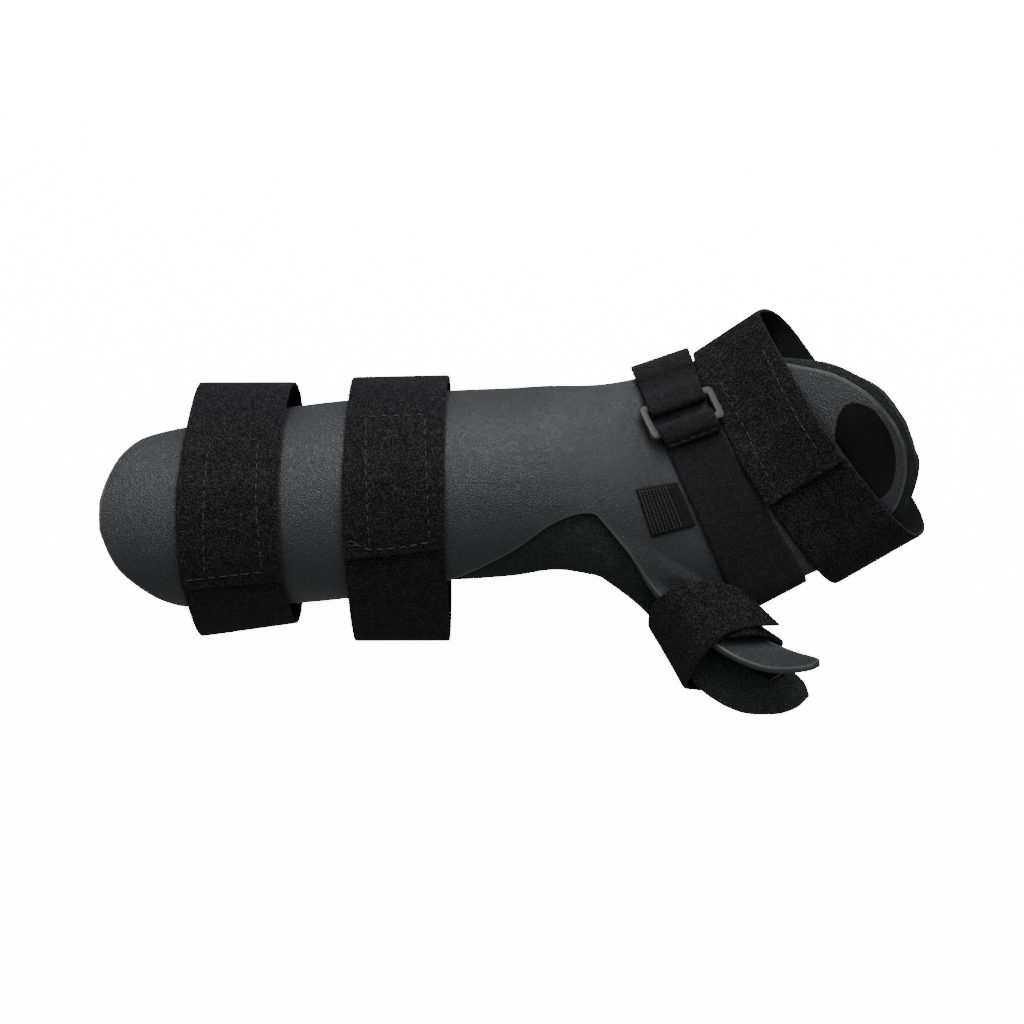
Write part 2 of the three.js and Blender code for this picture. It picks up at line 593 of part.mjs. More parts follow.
const splint = new THREE.Group();
splint.name = 'resting_hand_splint';
function add(name, geometry, color, roughness) {
  const solid = geometry.clone();
  solid.translate(-CENTRE.x, -CENTRE.y, 0);
  solid.computeVertexNormals();
  const mesh = new THREE.Mesh(solid, new THREE.MeshStandardMaterial({ color, roughness, metalness: 0 }));
  mesh.name = name;
  splint.add(mesh);
}

add('shell', shellGeometry, 0x33373a, 0.5);
add('liner', linerGeometry, 0x15181a, 0.95);
add('forearm_strap_proximal', proximal, 0x161616, 0.95);
add('forearm_strap_distal', distal, 0x161616, 0.95);
add('hand_strap', handStrap(), 0x161616, 0.95);
add('strap_ring', strapRing(), 0x5c5c5c, 0.6);
add('finger_strap', finger, 0x161616, 0.95);
add('thumb_strap', thumbStrap(), 0x161616, 0.95);
add('hook_patch', hookPatch(), 0x1a1a1a, 0.8);
add('size_label', sizeLabel(), 0x0c0c0c, 0.3);

export default splint;
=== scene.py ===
"""Looks of a resting hand splint for the right hand, lying with its palm side up.

The pieces are a moulded shell, a foam liner with a sewn strip, two forearm straps, a hand strap
with its ring, a finger strap, a thumb strap, a hook patch with its hooks, a size label, and the
straps' stitches and loose fibres. Lengths are millimetres in the drawing's frame (x elbow to finger
tips, y to the little-finger side, z up). They become metres about the part's origin when a mesh is
made.
"""

import logging
import math
from dataclasses import dataclass, field
from enum import Enum
from typing import ClassVar

import bpy
import numpy as np
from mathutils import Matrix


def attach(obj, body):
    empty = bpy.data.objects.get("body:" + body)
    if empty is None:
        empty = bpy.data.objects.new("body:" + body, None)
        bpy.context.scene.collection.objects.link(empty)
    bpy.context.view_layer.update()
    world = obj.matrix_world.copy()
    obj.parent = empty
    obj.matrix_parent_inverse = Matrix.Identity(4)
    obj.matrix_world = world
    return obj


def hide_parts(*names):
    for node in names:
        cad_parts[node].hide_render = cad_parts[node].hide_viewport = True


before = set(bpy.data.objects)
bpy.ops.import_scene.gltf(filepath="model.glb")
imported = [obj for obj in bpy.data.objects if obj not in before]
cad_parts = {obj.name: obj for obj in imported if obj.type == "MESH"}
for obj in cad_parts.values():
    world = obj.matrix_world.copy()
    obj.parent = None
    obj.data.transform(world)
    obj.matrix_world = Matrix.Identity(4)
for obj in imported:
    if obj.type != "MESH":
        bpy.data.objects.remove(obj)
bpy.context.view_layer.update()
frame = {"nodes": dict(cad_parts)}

LOG = logging.getLogger("splint")
Array = np.ndarray
Places = tuple[tuple[float, float], ...]  # points in plan, or places (a, l) on a strap
Sockets = dict[str, bpy.types.NodeSocket]  # sources of a shader's sockets
MM = 0.001  # metres
ORIGIN = np.array([6.6, 2.2, 0.0])  # the part's origin in the drawing
UP = np.array([0.0, 0.0, 1.0])
BORDER = "border_mm"  # mesh attribute: distance from a sheet's cut edge

SHELL_T = 3.0
LINER_T = 4.5
LINER_GAP = 0.4  # between the shell and the liner
STRAP_T = 2.0
STRAP_GAP = 0.5  # below each layer of a strap
EDGE_LIFT = 0.8  # of a strap off the shell, where it leaves it for a fold
END_LIFT = 1.0  # of a strap's cut end off the layer below it
LAP = STRAP_GAP + STRAP_T  # from one layer of a strap to the next
ON_SHELL = STRAP_GAP + STRAP_T / 2  # from the shell to a strap's middle

# Sections of the mould, elbow to finger tips, straight in plan from the ulnar border (ux, uy) to
# the radial one (vx, vy): ux, uy, vx, vy, ridge, radius, cut of the shell at the radial border,
# and the liner's reach past the ulnar and radial borders.
FORM = np.array([
    [-202.6, 5, -202.6, -9, 85, 49, 0, -4, -4],
    [-200, 15.5, -198.5, -21.5, 85, 49, 0, -4, -4],
    [-195, 27.5, -194, -30.5, 85, 49, 0, -4, -4],
    [-187, 36.5, -186, -39, 85, 49, 0, -4, -4],
    [-178, 40.5, -178, -45, 85, 49, 0, -4, -4],
    [-166, 44, -166, -49, 85, 49, 0, -4, -4],
    [-135, 51, -135, -48.5, 85, 51, 0, -4, -4],
    [-100, 56.5, -100, -46.5, 85, 53, 0, -4, -4],
    [-58, 60.5, -58, -41, 85, 52.5, 0, -4, -4],
    [-30, 63, -30, -37, 85, 52, 2.5, -4, 2],
    [0, 64, 0, -34, 85, 52, 14, -4, 3],
    [20, 64.5, 23, -31, 84, 57, 26, -4, 2],
    [35, 64.5, 45, -35, 81, 66, 34, -4, 1],
    [50, 66, 70, -39, 76, 76, 24, -4, 0],
    [66, 69.5, 94, -42, 68, 100, 13, -4, 0],
    [82, 75.5, 116, -44, 60, 140, 0, -4, -1],
    [100, 79.5, 157, -31.5, 55, 150, 0, -3, 2],
    [121, 80, 177.5, -17.5, 63, 140, 0, 1, 5],
    [144, 74, 192, -1, 73, 120, 0, 4.4, 6],
    [160, 69, 195.5, 12, 78, 120, 0, 5.0, 4.6],
    [174.5, 59.5, 195, 24, 81.5, 120, 0, 3.5, 2.3],
    [183.5, 49, 192.5, 33, 83.5, 120, 0, 2.7, 2.0],
])
BEND_ROW = 5  # end of the elbow's round border
ROOT_ROWS = (12, 15)  # first and last row that carry the thumb
TIP_BOW = 0.7  # the finger pan's end is round between the ends of the last section
RUN_ON = 0.8  # rise of the form for each millimetre past its last section
ARC_END = 0.985  # share of the radius where a section's arc turns into a steep plane
STEEP = 5.0  # slope of that plane
HALVINGS = 30  # steps that find the section at a place
LAST_ROW = 0.01  # a section found this near the form's end is the last one
SLOPE_STEP = 1.0  # half the stretch that a slope is taken over
SETTLE_STEPS = 14  # steps that find the mould's height along a slanting line, at most
SETTLED = 1e-4  # miss in height at which they stop
NEAR_THUMB = (40.0, 10.0)  # a sheet's part by the thumb has x above the first and y below the second

# Thumb tongues, root to tip: left border xyz, right border xyz, sag of the row between them.
SHELL_THUMB = np.array([
    [57, -19, 72, 114.5, -48, 46, 0],
    [70.5, -37.5, 63, 116, -53.5, 48, 3],
    [84, -50.5, 64, 121, -60, 53, 4],
    [97, -62, 69, 132, -66, 60, 4],
    [110, -71, 75, 142.5, -70, 68, 3],
    [124, -76, 82, 147.5, -71, 77, 2],
    [137, -76, 88, 150, -71.5, 84, 0.5],
    [146, -74, 90, 150.5, -72.5, 87, 0],
])
LINER_THUMB = np.array([
    [57, -42, 42, 113.5, -48, 39, 0],
    [70, -52.5, 40, 115, -54, 39, 0],
    [83, -69, 41, 118.5, -60.5, 41, 0],
    [93, -87, 44, 123, -66, 45, 0],
    [104, -97, 47, 130, -71.5, 49, 0],
    [118, -103.5, 50, 137, -77, 53, 0],
    [133, -104, 53, 145.8, -83.4, 55, 0],
    [141, -102.5, 54, 150, -88.5, 56, 0],
    [147.5, -99.3, 54.5, 151.8, -94.3, 56, 0],
])

# How far the hand strap's left and right borders lie off their even course, at places along it.
HAND_DRIFT = np.array([[-58, 0, 5], [-5, 0, 0], [48, 0, 0], [70, 1.5, 3.5]])

# Thumb strap, free end to hidden end: upper border xyz, lower border xyz.
THUMB_STRAP = np.array([
    [126.5, -48.5, 64, 135, -57, 66],
    [113, -38, 60, 118, -58, 68],
    [95, -35, 64, 105, -62, 74],
    [81, -38, 64, 94, -74, 69],
    [72.5, -46, 58, 90, -85, 58],
    [71, -56, 46, 89, -90, 48],
    [75, -61, 34, 95, -93, 36],
    [95, -60, 26, 110, -94, 28],
    [118, -58, 26, 134, -82, 30],
    [124, -58, 40, 140, -71, 42],
    [121, -55, 55, 136, -65, 58],
    [112, -48, 59, 123, -62, 66],
    [98, -43, 62, 108, -63, 71],
])


class Side(Enum):
    """Side of the arm that a strap folds round."""

    RADIAL = -1
    ULNAR = 1


class Face(Enum):
    """Material slots of a sheet: its outer face, its inner face and its cut edge."""

    OUTER = 0
    INNER = 1
    RIM = 2


def mix(a: Array | float, b: Array | float, t: Array | float) -> Array | float:
    """Straight blend from a at t = 0 to b at t = 1."""
    return a + (b - a) * t


def through(at: Array, value: Array, s: Array) -> Array:
    """Smooth curve through a table: cubic pieces whose slope at a row comes from its neighbours.

    Args:
        at: Place of each row along the curve, rising, shape (n,).
        value: Rows of the table, shape (n, k).
        s: Places to read, any shape.

    Returns:
        Values at s, shape s.shape + (k,).
    """
    last = len(at) - 1
    before = np.maximum(np.arange(last + 1) - 1, 0)
    after = np.minimum(np.arange(last + 1) + 1, last)
    slope = (value[after] - value[before]) / (at[after] - at[before])[:, None]
    i = np.clip(np.searchsorted(at, s) - 1, 0, last - 1)
    d = (at[i + 1] - at[i])[..., None]
    t = (s - at[i])[..., None] / d
    rise = 3 * t**2 - 2 * t**3
    return ((1 - rise) * value[i] + rise * value[i + 1]
            + (t**3 - 2 * t**2 + t) * d * slope[i] + (t**3 - t**2) * d * slope[i + 1])


def by_row(table: Array, s: Array) -> Array:
    """Smooth curve through a table whose rows lie at 0, 1, 2 and so on, read at s."""
    return through(np.arange(len(table), dtype=float), table, s)


def unit(vectors: Array) -> Array:
    """Vectors along the last axis, scaled to length 1."""
    return vectors / np.linalg.norm(vectors, axis=-1, keepdims=True)


def run(points: Array) -> Array:
    """Way along a line from its first point to each of its points."""
    return np.concatenate([[0], np.cumsum(np.linalg.norm(np.diff(points, axis=0), axis=1))])


def even_grid(rows: int, columns: int) -> list[Array]:
    """Shares from 0 to 1 down the rows and across the columns of a grid."""
    return np.meshgrid(np.linspace(0, 1, rows), np.linspace(0, 1, columns), indexing="ij")


def round_angles(count: int) -> Array:
    """Angles of places spaced evenly round a circle."""
    return np.linspace(0, 2 * np.pi, count, endpoint=False)


def between_corners(corners: Places, u: Array, v: Array) -> Array:
    """Places in plan between four corners, u along the first side and v away from it."""
    a, b, c, d = (np.array(p, float) for p in corners)
    return mix(mix(a, b, u[..., None]), mix(d, c, u[..., None]), v[..., None])


def refine(grid: Array, along: int, across: int) -> Array:
    """Finer grid on the smooth surface through a coarse one, spaced by its middle column and row.

    Args:
        grid: Coarse points, shape (rows, columns, 3).
        along: Steps for each step between rows.
        across: Steps for each step between columns.

    Returns:
        Points of shape (rows', columns', 3).
    """
    for axis, steps in ((0, along), (1, across)):
        lines = np.moveaxis(grid, axis, 0)
        at = run(lines[:, lines.shape[1] // 2])
        rows = np.linspace(0, len(at) - 1, (len(at) - 1) * steps + 1)
        s = np.interp(rows, np.arange(len(at)), at)
        fine = through(at, lines.reshape(len(at), -1), s).reshape(len(s), *lines.shape[1:])
        grid = np.moveaxis(fine, 0, axis)
    return grid


def grid_normals(grid: Array, out: Array) -> Array:
    """Unit normals of a grid, from differences along and across it.

    Args:
        grid: Points, shape (rows, columns, 3).
        out: Direction that they face at the grid's start.

    Returns:
        Normals, of the grid's shape.
    """
    normal = unit(np.cross(np.gradient(grid, axis=0), np.gradient(grid, axis=1)))
    return normal * np.sign(normal[0, grid.shape[1] // 2] @ out)


def sampled(grid: Array, row: Array, column: Array) -> Array:
    """Values of a grid at fractional rows and columns.

    Args:
        grid: Values, shape (rows, columns, 3).
        row: Rows, any shape.
        column: Columns, of the same shape.

    Returns:
        Values of shape row.shape + (3,).
    """
    i = np.clip(row.astype(int), 0, grid.shape[0] - 2)
    j = np.clip(column.astype(int), 0, grid.shape[1] - 2)
    r, c = (row - i)[..., None], (column - j)[..., None]
    return mix(mix(grid[i, j], grid[i, j + 1], c), mix(grid[i + 1, j], grid[i + 1, j + 1], c), r)


class Mould:
    """The form that shell and liner are drawn over: arcs across rows that run along the arm."""

    def __init__(self) -> None:
        """Places each row along the form by the mean length of its two borders."""
        step = np.diff(FORM[:, :4], axis=0)
        length = np.hypot(step[:, 0], step[:, 1]) + np.hypot(step[:, 2], step[:, 3])
        self.at: Array = np.concatenate([[0], np.cumsum(length / 2)])

    def section(self, s: Array) -> Array:
        """Table columns of the section at s, first axis the columns."""
        return np.moveaxis(through(self.at, FORM, np.asarray(s, float)), -1, 0)

    def height(self, x: Array, y: Array) -> Array:
        """Height over a place in plan: halving finds the section there, and its arc gives z.

        Args:
            x: Places along the arm.
            y: Places across it, of the same shape.

        Returns:
            Heights, of the same shape.
        """
        low, high = np.zeros(np.shape(x)), np.full(np.shape(x), self.at[-1])
        for _ in range(HALVINGS):
            s = (low + high) / 2
            ux, uy, vx, vy = np.moveaxis(through(self.at, FORM[:, :4], s), -1, 0)
            ahead = (vx - ux) * (y - uy) - (vy - uy) * (x - ux) > 0
            low, high = np.where(ahead, s, low), np.where(ahead, high, s)
        ux, uy, vx, vy, ridge, radius = self.section(low)[:6]
        chord = np.hypot(vx - ux, vy - uy)
        q = ((ux - vx) * (x - (ux + vx) / 2) + (uy - vy) * (y - (uy + vy) / 2)) / chord
        arc = np.minimum(np.abs(q), ARC_END * radius)
        past = np.maximum(0, (vx - ux) * (y - uy) - (vy - uy) * (x - ux)) / chord
        z = ridge - radius + np.sqrt(radius**2 - arc**2) - STEEP * (np.abs(q) - arc)
        return np.where(low > self.at[-1] - LAST_ROW, z + RUN_ON * past, z)

    def laid(self, x: Array, y: Array, off: float) -> Array:
        """Points off the form over places in plan, measured along its normal.

        Args:
            x: Places along the arm.
            y: Places across it, of the same shape.
            off: Distance from the form.

        Returns:
            Points, of shape x.shape + (3,).
        """
        e = SLOPE_STEP
        dx = (self.height(x + e, y) - self.height(x - e, y)) / (2 * e)
        dy = (self.height(x, y + e) - self.height(x, y - e)) / (2 * e)
        normal = unit(np.stack([-dx, -dy, np.ones_like(dx)], -1))
        return np.stack([x, y, self.height(x, y)], -1) + off * normal


MOULD = Mould()


def srgb(code: str) -> tuple[float, float, float, float]:
    """Linear colour with alpha of an sRGB hex code."""
    values = [int(code[i:i + 2], 16) / 255 for i in (1, 3, 5)]
    return (*(v / 12.92 if v <= 0.04045 else ((v + 0.055) / 1.055) ** 2.4 for v in values), 1.0)


def add_node(tree: bpy.types.NodeTree, kind: str, inputs: dict | None = None,
             **settings: object) -> bpy.types.Node:
    """Adds a node with its settings, and sets or links its inputs.

    Args:
        tree: Material's node tree.
        kind: Node type, without the words that all shader nodes start with.
        inputs: Socket name or number to a value, or to a socket that is linked to it.
        settings: Attributes of the node.

    Returns:
        The node.
    """
    node = tree.nodes.new("ShaderNode" + kind)
    for name, value in settings.items():
        setattr(node, name, value)
    for name, value in (inputs or {}).items():
        if isinstance(value, bpy.types.NodeSocket):
            tree.links.new(value, node.inputs[name])
        else:
            node.inputs[name].default_value = value
    return node


def per_mm(size: float) -> float:
    """Texture scale at which one cell is `size` millimetres."""
    return 1 / (size * MM)


@dataclass(frozen=True)
class Finish:
    """What every finish holds: its name, colours and the constant values of its shader."""

    name: str
    dark: str
    light: str
    roughness: float
    specular: float = 0.5
    sheen: float = 0.0
    sheen_tint: str = "#ffffff"
    sheen_roughness: ClassVar[float] = 0.6

    def pattern(self, tree: bpy.types.NodeTree, place: bpy.types.NodeSocket) -> Sockets:
        """Adds the finish's own nodes, and gives what its shader's sockets are linked to."""
        raise NotImplementedError

    def make(self) -> bpy.types.Material:
        """Material whose shader holds the constant values and takes the pattern.

        Returns:
            The material.
        """
        material = bpy.data.materials.new(self.name)
        material.use_nodes = True
        tree = material.node_tree
        shader = tree.nodes["Principled BSDF"]
        shader.inputs["Roughness"].default_value = self.roughness
        shader.inputs["Specular IOR Level"].default_value = self.specular
        shader.inputs["Sheen Weight"].default_value = self.sheen
        shader.inputs["Sheen Roughness"].default_value = self.sheen_roughness
        shader.inputs["Sheen Tint"].default_value = srgb(self.sheen_tint)
        place = add_node(tree, "TexCoord").outputs["Object"]
        for socket, source in self.pattern(tree, place).items():
            tree.links.new(source, shader.inputs[socket])
        return material


@dataclass(frozen=True)
class GrainedPlastic(Finish):
    """Thermoplastic sheet embossed with a fine leather grain, satin where it is rubbed."""

    grain: float = 1.05  # width of a pebble of the grain
    depth: float = 0.21
    crease: float = 0.32  # share of a cell where the crease round its pebble ends
    crease_painted_shade: float = 0.35  # painted shade: how much darker the creases between pebbles are
    wave: float = 4.0  # width of the waves that bend the grain
    sway: float = 0.0009  # share of the waves in a pebble's place
    pore: float = 0.5
    pore_share: float = 0.5  # of the pores in the relief
    patch: float = 45.0  # width of a slow change of shade
    edge_tone_and_highlight: str = "#333433"  # colour of the rounded edge, which has no grain; its paleness is partly the smooth edge's own tone, partly painted highlight along the rim
    edge_band_width: float = 1.7

    def pattern(self, tree: bpy.types.NodeTree, place: bpy.types.NodeSocket) -> Sockets:
        """Pebbles from cells with creases between them, painted shade in the creases, fine pores on top, slow
        random changes of tone.

        Args:
            tree: Material's node tree.
            place: Object coordinates.

        Returns:
            Sources of the shader's colour, roughness and normal.
        """
        warp = add_node(tree, "TexNoise", {"Vector": place, "Scale": per_mm(self.wave), "Detail": 2.0})
        bent = add_node(tree, "Mix", {0: self.sway, 4: place, 5: warp.outputs["Color"]}, data_type="VECTOR")
        cells = add_node(tree, "TexVoronoi", {"Vector": bent.outputs[1], "Scale": per_mm(self.grain)},
                         feature="DISTANCE_TO_EDGE")
        pebble = add_node(tree, "MapRange", {"Value": cells.outputs["Distance"], "From Max": self.crease},
                          interpolation_type="SMOOTHSTEP")
        pores = add_node(tree, "TexNoise", {"Vector": place, "Scale": per_mm(self.pore), "Detail": 3.0})
        relief = add_node(tree, "Math", {0: pores.outputs["Fac"], 1: self.pore_share,
                                         2: pebble.outputs["Result"]}, operation="MULTIPLY_ADD")
        border = add_node(tree, "Attribute", attribute_name=BORDER)
        face = add_node(tree, "MapRange", {"Value": border.outputs["Fac"], "From Min": self.edge_band_width * 0.5,
                                           "From Max": self.edge_band_width}, interpolation_type="SMOOTHSTEP")
        grained = add_node(tree, "Math", {0: relief.outputs[0], 1: face.outputs["Result"]},
                           operation="MULTIPLY")
        bump = add_node(tree, "Bump", {"Height": grained.outputs[0], "Distance": self.depth * MM,
                                       "Strength": 0.85})
        slow = add_node(tree, "TexNoise", {"Vector": place, "Scale": per_mm(self.patch), "Detail": 3.0})
        # Painted shade: the colour darkens in the creases between pebbles; the slow noise adds random tone.
        shade = add_node(tree, "Math", {0: pebble.outputs["Result"], 1: self.crease_painted_shade,
                                        2: slow.outputs["Fac"]}, operation="MULTIPLY_ADD")
        sheet = add_node(tree, "Mix", {0: shade.outputs[0], 6: srgb(self.dark), 7: srgb(self.light)},
                         data_type="RGBA")
        # Paler band along the cut edge: partly the edge's own smooth tone, partly painted highlight.
        colour = add_node(tree, "Mix", {0: face.outputs["Result"], 6: srgb(self.edge_tone_and_highlight), 7: sheet.outputs[2]},
                          data_type="RGBA")
        gloss = add_node(tree, "MapRange", {"Value": relief.outputs[0], "From Max": 1 + self.pore_share,
                                            "To Min": self.roughness + 0.12, "To Max": self.roughness - 0.05})
        return {"Base Color": colour.outputs[2], "Roughness": gloss.outputs["Result"],
                "Normal": bump.outputs["Normal"]}


@dataclass(frozen=True)
class Pile(Finish):
    """Cloth with a raised face: brushed loops, or the fine loops of a knit."""

    loop: float = 0.9  # width of a tuft
    depth: float = 0.45
    clump: float = 5.0  # width of a patch where the nap lies one way
    clump_share: float = 0.1  # of the clumps in the height
    fleck: float = 0.5  # height above which a loop catches the light: painted highlight
    fleck_span: float = 0.2  # from there to the lightest loops

    def pattern(self, tree: bpy.types.NodeTree, place: bpy.types.NodeSocket) -> Sockets:
        """Tufts and clumps of noise as height; the high tips get a painted highlight, lighter than the ground
        between them.

        Args:
            tree: Material's node tree.
            place: Object coordinates.

        Returns:
            Sources of the shader's colour and normal.
        """
        tufts = add_node(tree, "TexNoise", {"Vector": place, "Scale": per_mm(self.loop), "Detail": 4.0,
                                            "Roughness": 0.65})
        clumps = add_node(tree, "TexNoise", {"Vector": place, "Scale": per_mm(self.clump), "Detail": 2.0})
        height = add_node(tree, "Math", {0: clumps.outputs["Fac"], 1: self.clump_share,
                                         2: tufts.outputs["Fac"]}, operation="MULTIPLY_ADD")
        # Painted highlight: the colour turns lighter where the loops stand highest.
        tips = add_node(tree, "MapRange", {"Value": height.outputs[0], "From Min": self.fleck,
                                           "From Max": self.fleck + self.fleck_span},
                        interpolation_type="SMOOTHSTEP")
        colour = add_node(tree, "Mix", {0: tips.outputs["Result"], 6: srgb(self.dark), 7: srgb(self.light)},
                          data_type="RGBA")
        bump = add_node(tree, "Bump", {"Height": height.outputs[0], "Distance": self.depth * MM,
                                       "Strength": 0.9})
        return {"Base Color": colour.outputs[2], "Normal": bump.outputs["Normal"]}


@dataclass(frozen=True)
class SmoothPlastic(Finish):
    """Moulded, drawn or cast plastic with a faint texture and rub marks."""

    texture: float = 0.6  # width of the mould's texture
    depth: float = 0.03
    rub: float = 9.0  # width of a rub mark

    def pattern(self, tree: bpy.types.NodeTree, place: bpy.types.NodeSocket) -> Sockets:
        """Fine noise as height, and slow noise between the two shades.

        Args:
            tree: Material's node tree.
            place: Object coordinates.

        Returns:
            Sources of the shader's colour, roughness and normal.
        """
        fine = add_node(tree, "TexNoise", {"Vector": place, "Scale": per_mm(self.texture), "Detail": 3.0})
        slow = add_node(tree, "TexNoise", {"Vector": place, "Scale": per_mm(self.rub), "Detail": 4.0})
        colour = add_node(tree, "Mix", {0: slow.outputs["Fac"], 6: srgb(self.dark), 7: srgb(self.light)},
                          data_type="RGBA")
        bump = add_node(tree, "Bump", {"Height": fine.outputs["Fac"], "Distance": self.depth * MM,
                                       "Strength": 0.6})
        gloss = add_node(tree, "MapRange", {"Value": slow.outputs["Fac"], "To Min": self.roughness - 0.08,
                                            "To Max": self.roughness + 0.1})
        return {"Base Color": colour.outputs[2], "Roughness": gloss.outputs["Result"],
                "Normal": bump.outputs["Normal"]}


@dataclass(frozen=True)
class Palette:
    """Finishes of the splint."""

    # Drawn over the mould warm: dark slate with a leather grain, satin.
    shell: GrainedPlastic = GrainedPlastic("thermoplastic_grained", "#16191a", "#242729", 0.45, 0.36)
    # Sawn and smoothed by hand: no grain, paler than the face.
    shell_edge: SmoothPlastic = SmoothPlastic("thermoplastic_cut_edge", "#1c1d1e", "#282929", 0.5, 0.35)
    # Brushed nylon loops: black ground, tips made grey by painted highlight, a soft sheen at grazing light.
    strap: Pile = Pile("nylon_loop_pile_brushed", "#050505", "#272728", 0.95, 0.08, 0.06, "#8d8698",
                       loop=0.8, depth=0.6)
    # The narrow strap's loops are shorter and denser.
    strap_fine: Pile = Pile("nylon_loop_pile_flat", "#070707", "#1f1f20", 0.92, 0.1, 0.08, "#8d8698",
                            loop=0.6, depth=0.4)
    # Flat knit behind the loops.
    strap_back: Pile = Pile("nylon_knit_backing", "#0a0a0b", "#171719", 0.9, 0.08, 0.04, "#8d8698",
                            loop=0.5, depth=0.2)
    # Knife-cut edge: the fibres stand out and look paler.
    strap_edge: Pile = Pile("nylon_knit_cut_edge", "#101011", "#2c2c2f", 0.95, 0.08, 0.08, "#a09da8",
                            loop=0.5, depth=0.3)
    # Brushed knit laminated to foam: deep grey with a green cast.
    liner: Pile = Pile("polyester_knit_on_foam", "#161918", "#323736", 0.95, 0.08, 0.04, "#87918d",
                       loop=0.6, depth=0.25)
    # Open cells along the foam's cut edge: the same grey, rougher.
    foam: Pile = Pile("foam_cut_edge", "#181b1a", "#343938", 0.95, 0.1, 0.03, "#87918d",
                      loop=0.8, depth=0.4)
    # Moulded nylon: mid grey, matt.
    ring: SmoothPlastic = SmoothPlastic("nylon_moulded", "#2b2a29", "#383635", 0.55, 0.3)
    # Woven nylon ground: black, with the weave's relief.
    hook: SmoothPlastic = SmoothPlastic("nylon_hook_tape_woven", "#0a0a0b", "#131415", 0.6, 0.12,
                                        texture=0.35, depth=0.12)
    # Hooks of drawn nylon: a shade lighter and smoother than their ground.
    hook_tip: SmoothPlastic = SmoothPlastic("nylon_hook_monofilament", "#18191a", "#242526", 0.4, 0.35)
    # Vinyl film: black, with a satin face.
    label: SmoothPlastic = SmoothPlastic("vinyl_film_satin", "#050505", "#080807", 0.35, 0.12, depth=0.01)
    # Bonded polyester thread: dark grey on the black straps.
    thread: SmoothPlastic = SmoothPlastic("polyester_thread_bonded", "#1d1d1e", "#2c2c2e", 0.6, 0.25,
                                          texture=0.3, depth=0.1)
    # The same thread in mid grey, on the liner's strip.
    thread_grey: SmoothPlastic = SmoothPlastic("polyester_thread_grey", "#3c403f", "#565a59", 0.6, 0.25,
                                               texture=0.3, depth=0.1)


class Wardrobe:
    """Makes each finish once and hands out its material."""

    def __init__(self, palette: Palette) -> None:
        """Keeps the palette; materials are made when first asked for."""
        self.palette = palette
        self.made: dict[str, bpy.types.Material] = {}

    def get(self, name: str) -> bpy.types.Material:
        """Material of one of the palette's finishes."""
        if name not in self.made:
            self.made[name] = getattr(self.palette, name).make()
        return self.made[name]


def into_scene(name: str, data: bpy.types.ID) -> bpy.types.Object:
    """Object that holds a mesh, light or camera, linked to the scene.

    Args:
        name: Object's name.
        data: What it holds.

    Returns:
        The object.
    """
    thing = bpy.data.objects.new(name, data)
    bpy.context.scene.collection.objects.link(thing)
    return thing


def new_piece(name: str, points: Array, faces: list[list[int]],
              materials: list[bpy.types.Material]) -> bpy.types.Object:
    """Smooth-shaded object at the origin, with its place in its mesh.

    Args:
        name: Piece's name.
        points: Vertices in the drawing's millimetres.
        faces: Vertex numbers of each face.
        materials: Material slots.

    Returns:
        The object, linked to the scene and riding on the part.
    """
    mesh = bpy.data.meshes.new(name)
    mesh.from_pydata(((points - ORIGIN) * MM).tolist(), [], faces)
    mesh.validate()
    mesh.shade_smooth()
    for material in materials:
        mesh.materials.append(material)
    piece = into_scene(name, mesh)
    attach(piece, "root")
    return piece


def welded(grids: list[Array], out: Array) -> tuple[Array, Array]:
    """One mesh from grids that meet: points nearer than a micrometre are one vertex.

    Args:
        grids: Points, each of shape (rows, columns, 3).
        out: Direction that each grid's outer face has at its start.

    Returns:
        Vertices and quads.
    """
    quads, start = [], 0
    for grid in grids:
        rows, columns = grid.shape[:2]
        i = np.arange(rows * columns).reshape(rows, columns) + start
        cells = np.stack([i[:-1, :-1], i[1:, :-1], i[1:, 1:], i[:-1, 1:]], -1).reshape(-1, 4)
        j = columns // 2
        facing = np.cross(grid[1, j] - grid[0, j], grid[0, j] - grid[0, j - 1]) @ out
        quads.append(cells if facing > 0 else cells[:, ::-1])
        start += rows * columns
    points = np.concatenate([grid.reshape(-1, 3) for grid in grids])
    _, first, number = np.unique(np.round(points, 3), axis=0, return_index=True, return_inverse=True)
    return points[first], number.reshape(-1)[np.concatenate(quads)]


def border_distance(points: Array, quads: Array) -> Array:
    """Distance of each vertex from the nearest border of its sheet.

    Args:
        points: Vertices.
        quads: Faces; an edge that only one of them has is on the border.

    Returns:
        Distances, in the units of the points.
    """
    edges = np.sort(np.concatenate([quads[:, [i, (i + 1) % 4]] for i in range(4)]), axis=1)
    unique, count = np.unique(edges, axis=0, return_counts=True)
    start, end = points[unique[count == 1].T]
    way = end - start
    t = np.einsum("nmk,mk->nm", points[:, None] - start, way) / np.einsum("mk,mk->m", way, way)
    t = np.clip(t, 0, 1)
    return np.linalg.norm(points[:, None] - start - t[..., None] * way, axis=-1).min(1)


